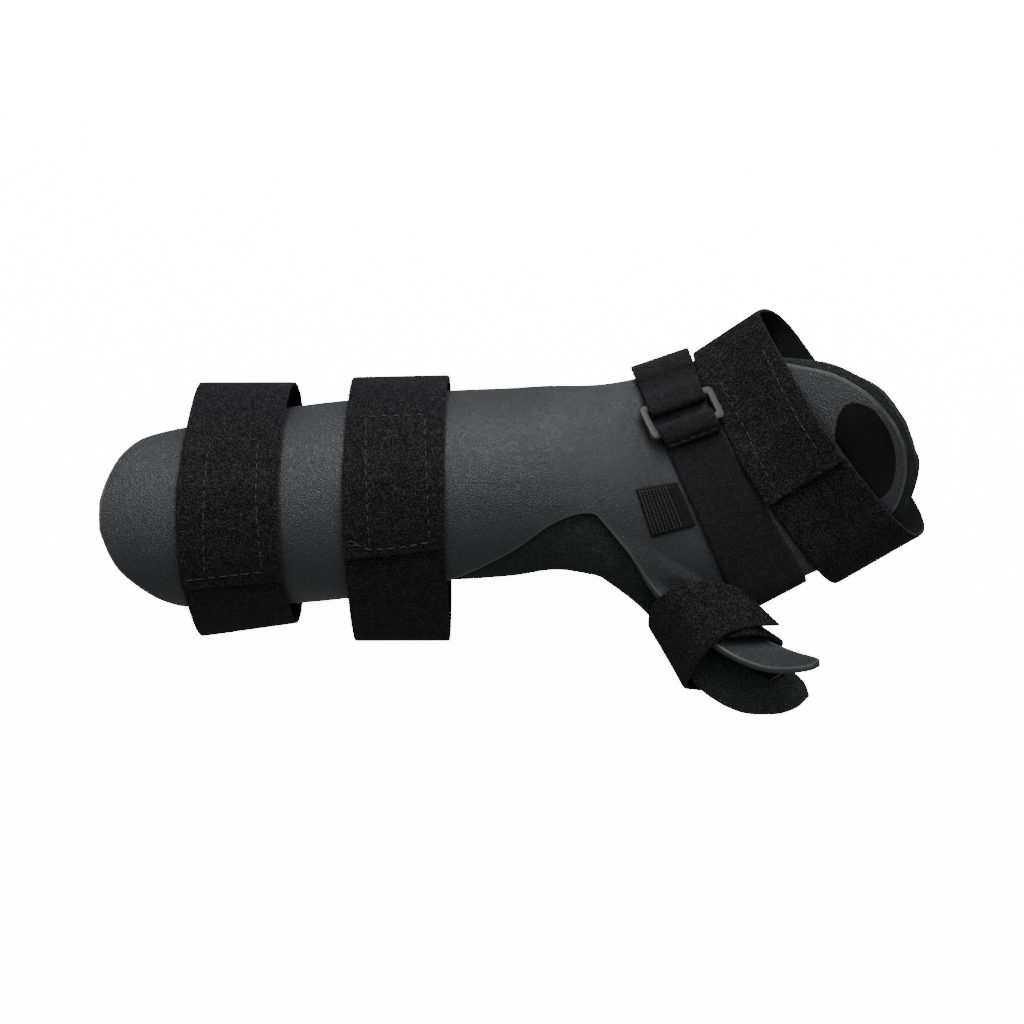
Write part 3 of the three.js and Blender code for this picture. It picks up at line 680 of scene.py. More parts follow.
@dataclass(frozen=True)
class SheetStock:
    """Sheet material: its thickness, where the drawn grid lies in it, and how sharp its edge is."""

    thickness: float
    offset: float  # -1: the grid is the outer face; 0: it is the middle
    crease: float  # of the edge's two rims, 0 round to 1 sharp
    finishes: tuple[str, str, str]
    levels: int = 1

    def cut(self, name: str, grids: list[Array], out: Array, wardrobe: Wardrobe) -> bpy.types.Object:
        """Piece of the sheet on grids of points, thickened along its normals and rounded.

        Args:
            name: Piece's name.
            grids: Grids that meet along shared points.
            out: Direction that the outer face has at each grid's start.
            wardrobe: Where the materials come from.

        Returns:
            The object.
        """
        points, quads = welded(grids, out)
        piece = new_piece(name, points, quads.tolist(), [wardrobe.get(f) for f in self.finishes])
        border = piece.data.attributes.new(BORDER, "FLOAT", "POINT")
        border.data.foreach_set("value", border_distance(points, quads).astype(np.float32))
        thick = piece.modifiers.new("thickness", "SOLIDIFY")
        thick.thickness = self.thickness * MM
        thick.offset = self.offset
        thick.material_offset = Face.INNER.value
        thick.material_offset_rim = Face.RIM.value
        thick.edge_crease_outer = thick.edge_crease_inner = self.crease
        smooth = piece.modifiers.new("rounding", "SUBSURF")
        smooth.levels = smooth.render_levels = self.levels
        return piece


STRAP_STOCK = SheetStock(STRAP_T, 0, 0.35, ("strap", "strap_back", "strap_edge"))
FINE_STOCK = SheetStock(STRAP_T, 0, 0.35, ("strap_fine", "strap_fine", "strap_edge"))


@dataclass
class ArmTrough:
    """Shell and liner: sheets drawn over the mould, each with a thumb tongue."""

    wardrobe: Wardrobe
    columns: int = 44
    row_counts: tuple[int, int, int, int] = (22, 50, 27, 42)  # elbow, forearm, thumb's root, finger pan
    tongue_steps: int = 40
    shell_lead: float = 1 / 15  # share of a row's arc that gives the tongue its first slope
    liner_lead: float = 1 / 12
    border_step: float = 0.5  # half the stretch that a border's direction is taken over
    shell_stock: SheetStock = SheetStock(SHELL_T, -1, 0.55, ("shell", "shell", "shell_edge"))
    liner_stock: SheetStock = SheetStock(LINER_T, -1, 0.3, ("liner", "liner", "foam"))
    liner_area: float = 0.0464  # square metres, developed from the drawing
    liner_cut: tuple[float, float] = (0.19, 0.42)  # metres
    shell_grids: list[Array] = field(default_factory=list)
    liner_grids: list[Array] = field(default_factory=list)

    def rows(self) -> tuple[Array, slice]:
        """Rows along the mould, spaced evenly in each of four stretches.

        Returns:
            Places of the rows, and which of them carry the thumb.
        """
        at = MOULD.at
        stops = (0.0, at[BEND_ROW], at[ROOT_ROWS[0]], at[ROOT_ROWS[1]], at[-1])
        parts = [np.linspace(a, b, n + 1)[:-1] for a, b, n in zip(stops, stops[1:], self.row_counts)]
        first = sum(self.row_counts[:2])
        return np.concatenate([*parts, [at[-1]]]), slice(first, first + self.row_counts[2] + 1)

    def shell_borders(self, s: Array) -> tuple[Array, Array]:
        """Shell's two borders in plan: the radial one is cut back along its row.

        Args:
            s: Rows, shape (r,).

        Returns:
            Ulnar and radial border, each of shape (2, r).
        """
        ux, uy, vx, vy, _, _, cut, _, _ = MOULD.section(s)
        t = 1 - cut / np.hypot(vx - ux, vy - uy)
        return np.stack([ux, uy]), np.stack([mix(ux, vx, t), mix(uy, vy, t)])

    def liner_borders(self, s: Array) -> tuple[Array, Array]:
        """Liner's two borders in plan: the mould's, set off square to themselves.

        Args:
            s: Rows, shape (r,).

        Returns:
            Ulnar and radial border, each of shape (2, r).
        """
        here, before, after = (MOULD.section(s + step) for step in (0, -self.border_step, self.border_step))
        *_, past_ulnar, past_radial = here
        ends = []
        for k, by in ((0, past_ulnar), (2, -past_radial)):
            dx, dy = after[k:k + 2] - before[k:k + 2]
            long = np.hypot(dx, dy)
            ends.append(np.stack([here[k] - by * dy / long, here[k + 1] + by * dx / long]))
        return ends[0], ends[1]

    def shares(self, s: Array, u: Array, v: Array, share: Array) -> Array:
        """Shares of the way from border u to border v, spaced evenly round each row's arc.

        Args:
            s: Rows, shape (r,).
            u: First border in plan, shape (2, r).
            v: Second border, shape (2, r).
            share: Shares of the arc's angle, shape (c,).

        Returns:
            Shares of the straight way, shape (r, c).
        """
        ux, uy, vx, vy, _, radius = MOULD.section(s)[:6]
        long = np.hypot(ux - vx, uy - vy)
        turn = []
        for x, y in (u, v):
            q = ((x - (ux + vx) / 2) * (ux - vx) + (y - (uy + vy) / 2) * (uy - vy)) / long
            turn.append(np.arcsin(np.clip(q / radius, -ARC_END, ARC_END))[:, None])
        angle = mix(turn[0], turn[1], share)
        return (np.sin(angle) - np.sin(turn[0])) / (np.sin(turn[1]) - np.sin(turn[0]))

    def on_sheet(self, s: Array, borders: tuple[Array, Array], share: Array, down: float) -> Array:
        """Points of a sheet between its borders.

        Args:
            s: Rows, shape (r,).
            borders: The sheet's two borders in plan.
            share: Shares of the arc's angle, shape (c,).
            down: Depth below the mould's face.

        Returns:
            Points of shape (r, c, 3).
        """
        t = self.shares(s, *borders, share)
        x, y = (mix(a[:, None], b[:, None], t) for a, b in zip(*borders))
        ux, uy, vx, vy = FORM[-1, :4]
        near_tip = np.clip((s - MOULD.at[-2]) / (MOULD.at[-1] - MOULD.at[-2]), 0, 1)[:, None]**2
        bow = TIP_BOW * near_tip * (4 * t * (1 - t))**2 / math.hypot(vx - ux, vy - uy)
        return MOULD.laid(x + bow * (uy - vy), y + bow * (vx - ux), -down)

    def tongue(self, inner: Array, border: Array, table: Array) -> Array:
        """Thumb tongue: lines that run on from the body's rows through the rows of a table.

        Args:
            inner: Body points just inside the root, shape (c, 3).
            border: Body points on the root, shape (c, 3).
            table: Tongue's rows, root to tip.

        Returns:
            Points of shape (steps + 1, c, 3), the first row being the root.
        """
        t = np.linspace(0, 1, len(border))[None, :, None]
        rows = mix(table[:, None, 0:3], table[:, None, 3:6], t)
        rows[..., 2] -= table[:, None, 6] * 4 * t[..., 0] * (1 - t[..., 0])
        lines = np.concatenate([inner[None], border[None], rows])
        s = np.linspace(1, len(lines) - 1, self.tongue_steps + 1)
        grid = by_row(lines.reshape(len(lines), -1), s).reshape(len(s), -1, 3)
        grid[0] = border
        return grid

    def draw(self, borders: tuple[Array, Array], s: Array, root: slice, down: float, lead: float,
             table: Array) -> list[Array]:
        """Body and tongue of one sheet.

        Args:
            borders: Its two borders in plan.
            s: Rows along the mould.
            root: Rows that carry the thumb.
            down: Depth below the mould's face.
            lead: Share of the arc that the tongue's slope is taken over.
            table: Tongue's rows.

        Returns:
            The two grids.
        """
        body = self.on_sheet(s, borders, np.linspace(0, 1, self.columns + 1), down)
        at_root = borders[0][:, root], borders[1][:, root]
        inner = self.on_sheet(s[root], at_root, np.array([1 - lead]), down)[:, 0]
        return [body, self.tongue(inner, body[root, -1], table)]

    def build(self) -> list[bpy.types.Object]:
        """Shell and liner, each drawn as a body with its tongue and cut from its sheet.

        Returns:
            The two objects, in place of their plain solids.
        """
        s, root = self.rows()
        self.shell_grids = self.draw(self.shell_borders(s), s, root, 0.0, self.shell_lead, SHELL_THUMB)
        shell = self.shell_stock.cut("shell_moulded", self.shell_grids, UP, self.wardrobe)
        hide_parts("shell")
        down = SHELL_T + LINER_GAP
        self.liner_grids = self.draw(self.liner_borders(s), s, root, down, self.liner_lead, LINER_THUMB)
        liner = self.liner_stock.cut("liner_foam", self.liner_grids, UP, self.wardrobe)
        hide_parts("liner")
        return [shell, liner]


@dataclass(frozen=True)
class StrapFrame:
    """Frame that a strap is laid out in: a across its width, l along it, up off the shell."""

    origin: tuple[float, float, float]
    heading: float = 0.0  # degrees
    pitch: float = 0.0  # degrees
    lean: float = 0.0  # how far up goes back along a for each unit

    def axes(self) -> Array:
        """Directions of a, l and up: heading and pitch turn a, l stays level, and up leans back along a.

        Returns:
            The three directions as rows.
        """
        h, p = math.radians(self.heading), math.radians(self.pitch)
        t = np.array([math.cos(p) * math.cos(h), math.cos(p) * math.sin(h), math.sin(p)])
        w = np.array([-math.sin(h), math.cos(h), 0.0])
        return np.stack([t, w, np.cross(t, w) - self.lean * t])

    def at(self, a: Array, l: Array, up: Array) -> Array:
        """Points at (a, l, up)."""
        return np.array(self.origin) + np.stack(np.broadcast_arrays(a, l, up), -1) @ self.axes()

    def along(self, points: Array) -> Array:
        """Places l of points."""
        return (points - np.array(self.origin)) @ self.axes()[1]

    def lie(self, a: Array, l: Array) -> Array:
        """Height of the mould along `up`, found by stepping up or down by what is missing in z.

        Args:
            a: Places across.
            l: Places along.

        Returns:
            Heights, of the shape that a and l make together.
        """
        up = np.zeros(np.broadcast(a, l).shape)
        rise = self.axes()[2, 2]
        for _ in range(SETTLE_STEPS):
            p = self.at(a, l, up)
            missing = MOULD.height(p[..., 0], p[..., 1]) - p[..., 2]
            up = up + missing / rise
            if np.abs(missing).max() < SETTLED:
                break
        return up

    def over(self, a: Array, l: Array, off: Array | float) -> tuple[Array, Array]:
        """Height and slope of a strap's middle that lies off the mould, square to it.

        Args:
            a: Places across.
            l: Places along.
            off: Distance from the mould.

        Returns:
            Heights, and slopes along the strap taken on the side of its middle.
        """
        a, l = np.broadcast_arrays(np.asarray(a, float), np.asarray(l, float))
        inner = l - 2 * SLOPE_STEP * np.where(l < 0, -1, 1)
        up = self.lie(a, l)
        slope = (up - self.lie(a, inner)) / (l - inner)
        side = (self.lie(a + SLOPE_STEP, inner) - self.lie(a - SLOPE_STEP, inner)) / (2 * SLOPE_STEP)
        return up + off * np.sqrt(1 + slope**2 + side**2), slope


@dataclass(frozen=True)
class Fold:
    """Fold of a strap beside the arm: place along it at both edges, height, and run to the back."""

    l: tuple[float, float]
    up: float
    run: float

    def lapped(self) -> "Fold":
        """Same fold one strap further out."""
        return Fold((self.l[0] + LAP, self.l[1] + LAP), self.up, self.run)


def bend(a: Array, b: Array, c: Array, n: int) -> Array:
    """Quadratic curve from a to c that leaves and arrives towards b, without its first point.

    Args:
        a: Start, shape (columns, 2).
        b: Corner.
        c: End.
        n: Steps.

    Returns:
        Points of shape (n, columns, 2).
    """
    t = np.linspace(0, 1, n + 1)[1:, None, None]
    return (1 - t)**2 * a + 2 * t * (1 - t) * b + t * t * c


@dataclass(frozen=True)
class Spread:
    """Share of a strap's width that it spans in its frame, at two places along it."""

    start: float = 0.0
    first: float = 1.0
    stop: float = 1.0
    second: float = 1.0

    def at(self, l: Array | float) -> Array:
        """Share at places l, even past both ends."""
        return mix(self.first, self.second, np.clip((l - self.start) / (self.stop - self.start), 0, 1))


@dataclass
class Strap:
    """Strap laid out in its own frame: a path of (l, up) for each place across its width."""

    name: str
    node: str
    width: float
    frame: StrapFrame
    length: float  # of the flat strap
    wardrobe: Wardrobe
    spread: Spread = Spread()
    stock: SheetStock = STRAP_STOCK
    steps_along: int = 4
    steps_across: int = 5
    drawn: int = 4  # columns that the path is drawn at
    fold_steps: int = 6  # of each half of a fold
    fold_rise: float = 4.0  # of a fold's upper corner over its widest place, at least
    back_steps: int = 4
    sewn: tuple[int | None, int | None] = (None, None)  # rows of the path that seams go through
    seams: tuple[Places, ...] = ()
    grid: Array | None = None

    def columns(self) -> tuple[Array, Array]:
        """Places across the flat width that the path is drawn at, and their share of it."""
        a = np.linspace(-self.width / 2, self.width / 2, self.drawn)
        return a, a / self.width + 0.5

    def across(self, l: Array | float) -> Array:
        """Places of the columns across the frame at l, whose last axis is the columns or 1."""
        return self.columns()[0] * self.spread.at(l)

    def round_fold(self, side: Side, hug: Array | float, fold: Fold, back: float, off: float) -> Array:
        """Way from the strap's last place on the shell round a fold and onto the back: two bends.

        Args:
            side: Side of the arm.
            hug: Last place on the shell.
            fold: The fold.
            back: Height of the back stretch.
            off: Distance of the strap's middle off the shell.

        Returns:
            Path of shape (2 * fold_steps + 1, columns, 2).
        """
        _, k = self.columns()
        hug = np.broadcast_to(hug, k.shape).astype(float)
        up, slope = self.frame.over(self.across(hug), hug, off + EDGE_LIFT)
        at = mix(fold.l[0], fold.l[1], k)
        top = np.stack([hug, up], -1)
        corner = np.stack([at, np.maximum(up + slope * (at - hug), fold.up + self.fold_rise)], -1)
        out = np.stack([at, np.full_like(at, fold.up)], -1)
        low = np.stack([at, np.full_like(at, back)], -1)
        base = np.stack([at - side.value * fold.run, np.full_like(at, back)], -1)
        steps = self.fold_steps
        return np.concatenate([top[None], bend(top, corner, out, steps), bend(out, low, base, steps)])

    def lying(self, l: Array, off: Array | float) -> Array:
        """Path on the shell at places l, of shape (n, columns) or (n, 1)."""
        l = np.broadcast_to(l, (len(l), self.drawn))
        return np.stack([l, self.frame.over(self.across(l), l, off)[0]], -1)

    def back_run(self, start: Array, end: Array, back: float) -> Array:
        """Path along the back, between two folds."""
        l = mix(start[:, 0], end[:, 0], np.linspace(0, 1, self.back_steps + 1)[1:-1, None])
        return np.stack([l, np.full_like(l, back)], -1)

    def path(self) -> Array:
        """Path of the strap, shape (n, columns, 2)."""
        raise NotImplementedError

    def seam_rows(self) -> slice:
        """Rows of the strap's surface that seams are sewn through."""
        return slice(*(None if row is None else row * self.steps_along for row in self.sewn))

    def build(self) -> bpy.types.Object:
        """Strap on the smooth surface through its path.

        Returns:
            The strap, in place of its plain solid.
        """
        path = self.path()
        coarse = self.frame.at(self.across(path[..., 0]), path[..., 0], path[..., 1])
        self.grid = refine(coarse, self.steps_along, self.steps_across)
        piece = self.stock.cut(self.name, [self.grid], self.frame.axes()[2], self.wardrobe)
        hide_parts(self.node)
        return piece


@dataclass
class ClosedStrap(Strap):
    """Strap closed on itself: lower end, radial fold, back, ulnar fold, upper end over the lower."""

    start: float = 0.0
    end: tuple[float, float] = (0.0, 0.0)  # at both edges
    hug_radial: float = 0.0  # last place on the shell before the fold
    radial: Fold = Fold((0, 0), 0, 0)
    hug_ulnar: float = 0.0
    ulnar: Fold = Fold((0, 0), 0, 0)
    back: float = STRAP_T / 2
    sewn: tuple[int | None, int | None] = (-18, None)  # the upper layer
    lower_steps: int = 7
    upper_steps: int = 12
    lap_from: float = 14.0  # the upper layer rises this far before the lower one's end
    lap_run: float = 10.0
    end_run: float = 9.0  # stretch over which the cut end lifts

    def lap(self, l: Array) -> Array:
        """Rise of the upper layer over the lower one's end."""
        return LAP * np.clip((self.start + self.lap_from - l) / self.lap_run, 0, 1)

    def path(self) -> Array:
        """Lower layer on the shell, both folds with the back between them, upper layer on top.

        Returns:
            Path of shape (n, columns, 2).
        """
        _, k = self.columns()
        l = np.linspace(self.start, self.hug_radial, self.lower_steps + 1)[:-1, None]
        lower = self.lying(l, ON_SHELL)
        radial = self.round_fold(Side.RADIAL, self.hug_radial, self.radial, self.back, ON_SHELL)
        ulnar = self.round_fold(Side.ULNAR, self.hug_ulnar, self.ulnar, self.back, ON_SHELL)[::-1]
        t = np.linspace(0, 1, self.upper_steps + 1)[1:, None]
        l = mix(self.hug_ulnar, mix(self.end[0], self.end[1], k), t)
        lift = END_LIFT * np.clip((self.end[0] + self.end_run - l) / self.end_run, 0, 1)**2
        upper = self.lying(l, ON_SHELL + self.lap(l) + lift)
        back = self.back_run(radial[-1], ulnar[0], self.back)
        return np.concatenate([lower, radial, back, ulnar, upper])


@dataclass(frozen=True)
class RingStock:
    """Ring's outside length and width, its bar, thickness, height over the shell and corners."""

    length: float = 43.4
    width: float = 18.6
    bar: float = 3.9
    thick: float = 2.4
    lift: float = 6.2
    outer_corner: float = 3.0
    inner_corner: float = 1.0
    squareness: float = 0.55  # power below 1 that squares the bar's round section
    section_points: int = 20
    corner_points: int = 9


@dataclass
class HandStrap(Strap):
    """Strap whose two ends turn round the bars of a ring and lie back on themselves."""

    steps_across: int = 4
    sewn: tuple[int | None, int | None] = (0, 3)  # the flap below the ring
    ring: RingStock = RingStock()
    ring_at: float = 41.7
    seat_half: tuple[float, float] = (9.0, 6.0)  # half the seat that slopes are taken over: across, along
    palm: tuple[float, ...] = (24, 14, 4, -8, -20, -32, -42, -48)  # places from the ring to the web
    hug_web: tuple[float, float] = (-53.5, -59.0)  # last place on the shell, at both edges
    web: Fold = Fold((-66.5, -65), -22, 26)
    hug_edge: tuple[float, float] = (66.5, 63.0)
    edge: Fold = Fold((71.8, 68.2), -22, 22)
    near: float = 57.0  # place between the hand's edge and the ring

    def across(self, l: Array | float) -> Array:
        """Places of the columns across the frame at l, with both borders' drift."""
        left, right = (np.interp(l, HAND_DRIFT[:, 0], column) for column in HAND_DRIFT[:, 1:].T)
        return super().across(l) + mix(left, right, self.columns()[1])

    def seat(self, a: Array | float, l: Array | float) -> Array:
        """Height of a flat seat on the shell: level with the shell at the strap's two edges.

        Args:
            a: Places across.
            l: Places along.

        Returns:
            Heights, of the shape that a and l make together.
        """
        half = self.width * self.spread.first / 2
        a, l = np.broadcast_arrays(np.asarray(a, float), np.asarray(l, float))
        low, mid, high = (self.frame.lie(np.full_like(l, at), l) for at in (-half, 0, half))
        return np.maximum(mid, (low + high) / 2) + (high - low) * a / (2 * half)

    def seat_slope(self) -> tuple[float, float]:
        """Rise of the seat across and along the strap."""
        at, (a, l) = self.ring_at, self.seat_half
        return (float(self.seat(a, at) - self.seat(-a, at)) / (2 * a),
                float(self.seat(0, at + l) - self.seat(0, at - l)) / (2 * l))

    def seat_tilt(self) -> float:
        """Length along the frame's up of a unit square to the seat."""
        return math.hypot(1, *self.seat_slope())

    def square(self) -> float:
        """How far a line square to the strap on the sloping seat moves along it per step across."""
        across, along = self.seat_slope()
        return -across * along / (1 + along**2)

    def bar_at(self) -> float:
        """Distance of a bar's middle from the ring's."""
        return (self.ring.width - self.ring.bar) / 2

    def around_bar(self, direction: int) -> Array:
        """Way round a bar, from the layer on top to the layer below.

        Each row of the turn is a place past the bar's middle and a height over the seat.

        Args:
            direction: 1 for the lower bar, -1 for the upper one.

        Returns:
            Path of shape (10, columns, 2).
        """
        top = self.ring.lift + self.ring.thick / 2 + 2 * STRAP_GAP + STRAP_T / 2
        reach = self.ring.bar / 2 + 2 * STRAP_GAP + STRAP_T / 2
        turn = np.array([
            [-13, ON_SHELL + LAP], [-8, ON_SHELL + LAP + 0.8], [-3.6, top - 0.4], [0, top + 0.2],
            [reach * 0.6, top], [reach * 0.95, top - 1.3], [reach, self.ring.lift],
            [reach * 0.95, ON_SHELL + 1.3], [reach * 0.6, ON_SHELL + 0.2], [-1, ON_SHELL],
        ])
        if direction > 0:
            turn[:3] = [[-7.4, ON_SHELL + LAP + 0.1], [-5.4, ON_SHELL + LAP + 1.2], [-3.2, top - 1]]
        slant = self.square() * self.across(self.ring_at)
        l = self.ring_at + direction * (turn[:, :1] - self.bar_at()) + slant
        return np.stack([l, self.seat(self.across(l), l) + turn[:, 1:] * self.seat_tilt()], -1)

    def path(self) -> Array:
        """Round the lower bar, over the palm, through the web, along the back and to the upper bar.

        Returns:
            Path of shape (n, columns, 2).
        """
        _, k = self.columns()
        low = STRAP_T / 2 - self.frame.origin[2]
        hug = mix(*self.hug_edge, k)
        palm = self.lying(np.array(self.palm, float)[:, None], ON_SHELL)
        radial = self.round_fold(Side.RADIAL, mix(*self.hug_web, k), self.web, low, ON_SHELL)
        ulnar = self.round_fold(Side.ULNAR, hug, self.edge, low, ON_SHELL)[::-1]
        lapped = self.round_fold(Side.ULNAR, hug, self.edge.lapped(), low + LAP, ON_SHELL + LAP)
        near = self.lying(np.array([[self.near]]), ON_SHELL)
        back = self.back_run(radial[-1], ulnar[0], low)
        return np.concatenate([self.around_bar(1), palm, radial, back, ulnar, near,
                               self.around_bar(-1)[::-1], lapped[:self.fold_steps + 2]])

    def ring_frame(self) -> tuple[Array, Array]:
        """Frame of the ring, whose two bars lie over the seat.

        Returns:
            Its middle, and its directions across the strap, along it and up as rows.
        """
        at, bar, half = self.ring_at, self.bar_at(), self.seat_half[0]
        lift = self.ring.lift * self.seat_tilt()
        lower, upper = (self.frame.at(0.0, l, self.seat(0, l) + lift) for l in (at - bar, at + bar))
        right, left = (self.frame.at(a, at, self.seat(a, at)) for a in (half, -half))
        y = unit(upper - lower)
        z = unit(np.cross(right - left, y))
        return (lower + upper) / 2, np.stack([np.cross(y, z), y, z])

    def build_ring(self) -> bpy.types.Object:
        """Ring: a rounded section carried round a rounded rectangle.

        For each angle of the section, its cosine sets how far the outline lies outside or inside
        the bar's middle and its sine the height; the corners' radius goes with the outline.

        Returns:
            The ring, in place of its plain solid.
        """
        ring, (middle, axes) = self.ring, self.ring_frame()
        angle = round_angles(ring.section_points)
        wave = np.stack([np.cos(angle), np.sin(angle)])
        bar = np.array([[ring.bar], [ring.thick]])
        out, high = bar / 2 * np.sign(wave) * np.abs(wave)**ring.squareness
        radius = mix(ring.inner_corner, ring.outer_corner, out / ring.bar + 0.5)
        corner = np.arange(4).repeat(ring.corner_points)
        turn = corner * np.pi / 2 + np.tile(np.linspace(0, np.pi / 2, ring.corner_points), 4)
        sx, sy = np.array([1, -1, -1, 1])[corner], np.array([1, 1, -1, -1])[corner]
        px = sx[:, None] * ((ring.length - ring.bar) / 2 + out - radius) + radius * np.cos(turn)[:, None]
        py = sy[:, None] * ((ring.width - ring.bar) / 2 + out - radius) + radius * np.sin(turn)[:, None]
        local = np.stack([px, py, np.broadcast_to(high, px.shape)], -1)
        closed = np.concatenate([local, local[:1]])
        closed = np.concatenate([closed, closed[:, :1]], 1)
        points, quads = welded([middle + closed @ axes], axes[0])
        piece = new_piece("strap_ring_moulded", points, quads.tolist(), [self.wardrobe.get("ring")])
        smooth = piece.modifiers.new("rounding", "SUBSURF")
        smooth.levels = smooth.render_levels = 1
        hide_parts("strap_ring")
        return piece


def skin(grids: list[Array], x: Array, y: Array, reach: float) -> Array:
    """Height of a sheet's outer face near the thumb, from its nearest point and slope.

    Args:
        grids: Sheet's grids.
        x: Places in plan.
        y: Places in plan, of the same shape.
        reach: How far the nearest point may be.

    Returns:
        Heights, or minus infinity where the sheet isn't there.
    """
    point = np.concatenate([grid.reshape(-1, 3) for grid in grids])
    normal = np.concatenate([grid_normals(grid, UP).reshape(-1, 3) for grid in grids])
    near = (point[:, 0] > NEAR_THUMB[0]) & (point[:, 1] < NEAR_THUMB[1])
    point, normal = point[near], normal[near]
    gap = (x[..., None] - point[:, 0])**2 + (y[..., None] - point[:, 1])**2
    best = gap.argmin(-1)
    p, n = point[best], normal[best]
    z = p[..., 2] - ((x - p[..., 0]) * n[..., 0] + (y - p[..., 1]) * n[..., 1]) / n[..., 2]
    return np.where(gap.min(-1) < reach**2, z, -np.inf)


@dataclass
class ThumbStrap:
    """Strap round the thumb tongue, with a pointed free end."""

    wardrobe: Wardrobe
    trough: ArmTrough
    width: float = 34.0
    length: float = 172.0
    hidden_from: float = 10.2  # row of the table past which the strap runs under its free end
    front_to: float = 4.3  # row up to which it lies in front of the shell
    rows: int = 49
    columns: int = 4
    steps: tuple[int, int] = (2, 4)  # finer steps along and across
    slack: float = 1.35  # height over the shell for that of the layers below, as the shell slopes
    reach: float = 1.6
    grid: Array | None = None

    def build(self) -> bpy.types.Object:
        """Strap through the rows of its table, raised where the shell lies under it.

        Returns:
            The strap, in place of its plain solid.
        """
        s = np.linspace(0, len(THUMB_STRAP) - 1, self.rows)
        borders = by_row(THUMB_STRAP, s)
        t = np.linspace(0, 1, self.columns)[None, :, None]
        grid = mix(borders[:, None, :3], borders[:, None, 3:], t)
        off = np.where(s > self.hidden_from, ON_SHELL, ON_SHELL + LAP) * self.slack
        shell = skin(self.trough.shell_grids, grid[..., 0], grid[..., 1], self.reach)
        raised = np.maximum(grid[..., 2], shell + off[:, None])
        front = (s < self.front_to) | (s > self.hidden_from)
        grid[..., 2] = np.where(front[:, None], raised, grid[..., 2])
        self.grid = refine(grid, *self.steps)
        piece = STRAP_STOCK.cut("thumb_strap_pile", [self.grid], UP, self.wardrobe)
        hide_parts("thumb_strap")
        return piece


def tubes(rings: Array) -> tuple[Array, list[list[int]]]:
    """Many closed tubes at once.

    Args:
        rings: Points of shape (tubes, rings, points round, 3).

    Returns:
        Vertices, and quads round each tube with a flat cap at both ends.
    """
    count, long, around = rings.shape[:3]
    i = np.arange(count * long * around).reshape(count, long, around)
    j = np.roll(i, -1, axis=2)
    sides = np.stack([i[:, :-1], j[:, :-1], j[:, 1:], i[:, 1:]], -1).reshape(-1, 4)
    caps = np.concatenate([i[:, 0, ::-1], i[:, -1]])
    return rings.reshape(-1, 3), [*sides.tolist(), *caps.tolist()]


def around_lines(middle: Array, out: Array, radius: Array | float, around: int) -> Array:
    """Rings of tubes whose middles follow lines.

    Args:
        middle: Lines, shape (tubes, points, 3).
        out: Directions about square to the lines, of the same shape or one that spreads to it.
        radius: One radius, or one for each point of a line with shape (points, 1, 1).
        around: Points round a tube.

    Returns:
        Rings of shape (tubes, points, around, 3).
    """
    way = np.gradient(middle, axis=1)
    side = unit(np.cross(way, out))
    up = np.cross(side, unit(way))
    angle = round_angles(around)[:, None]
    return middle[:, :, None] + radius * (np.cos(angle) * side[:, :, None] + np.sin(angle) * up[:, :, None])


def tube_piece(name: str, rings: Array, material: bpy.types.Material) -> bpy.types.Object:
    """Piece made of tubes, with one material.

    Args:
        name: Piece's name.
        rings: Points of shape (tubes, rings, points round, 3).
        material: Its material.

    Returns:
        The object.
    """
    piece = new_piece(name, *tubes(rings), [material])
    return piece


@dataclass(frozen=True)
class HookField:
    """Hooks between two shares of the patch's length: columns, rows and half a hook's length."""

    first: float
    last: float
    columns: int
    rows: int
    half: float


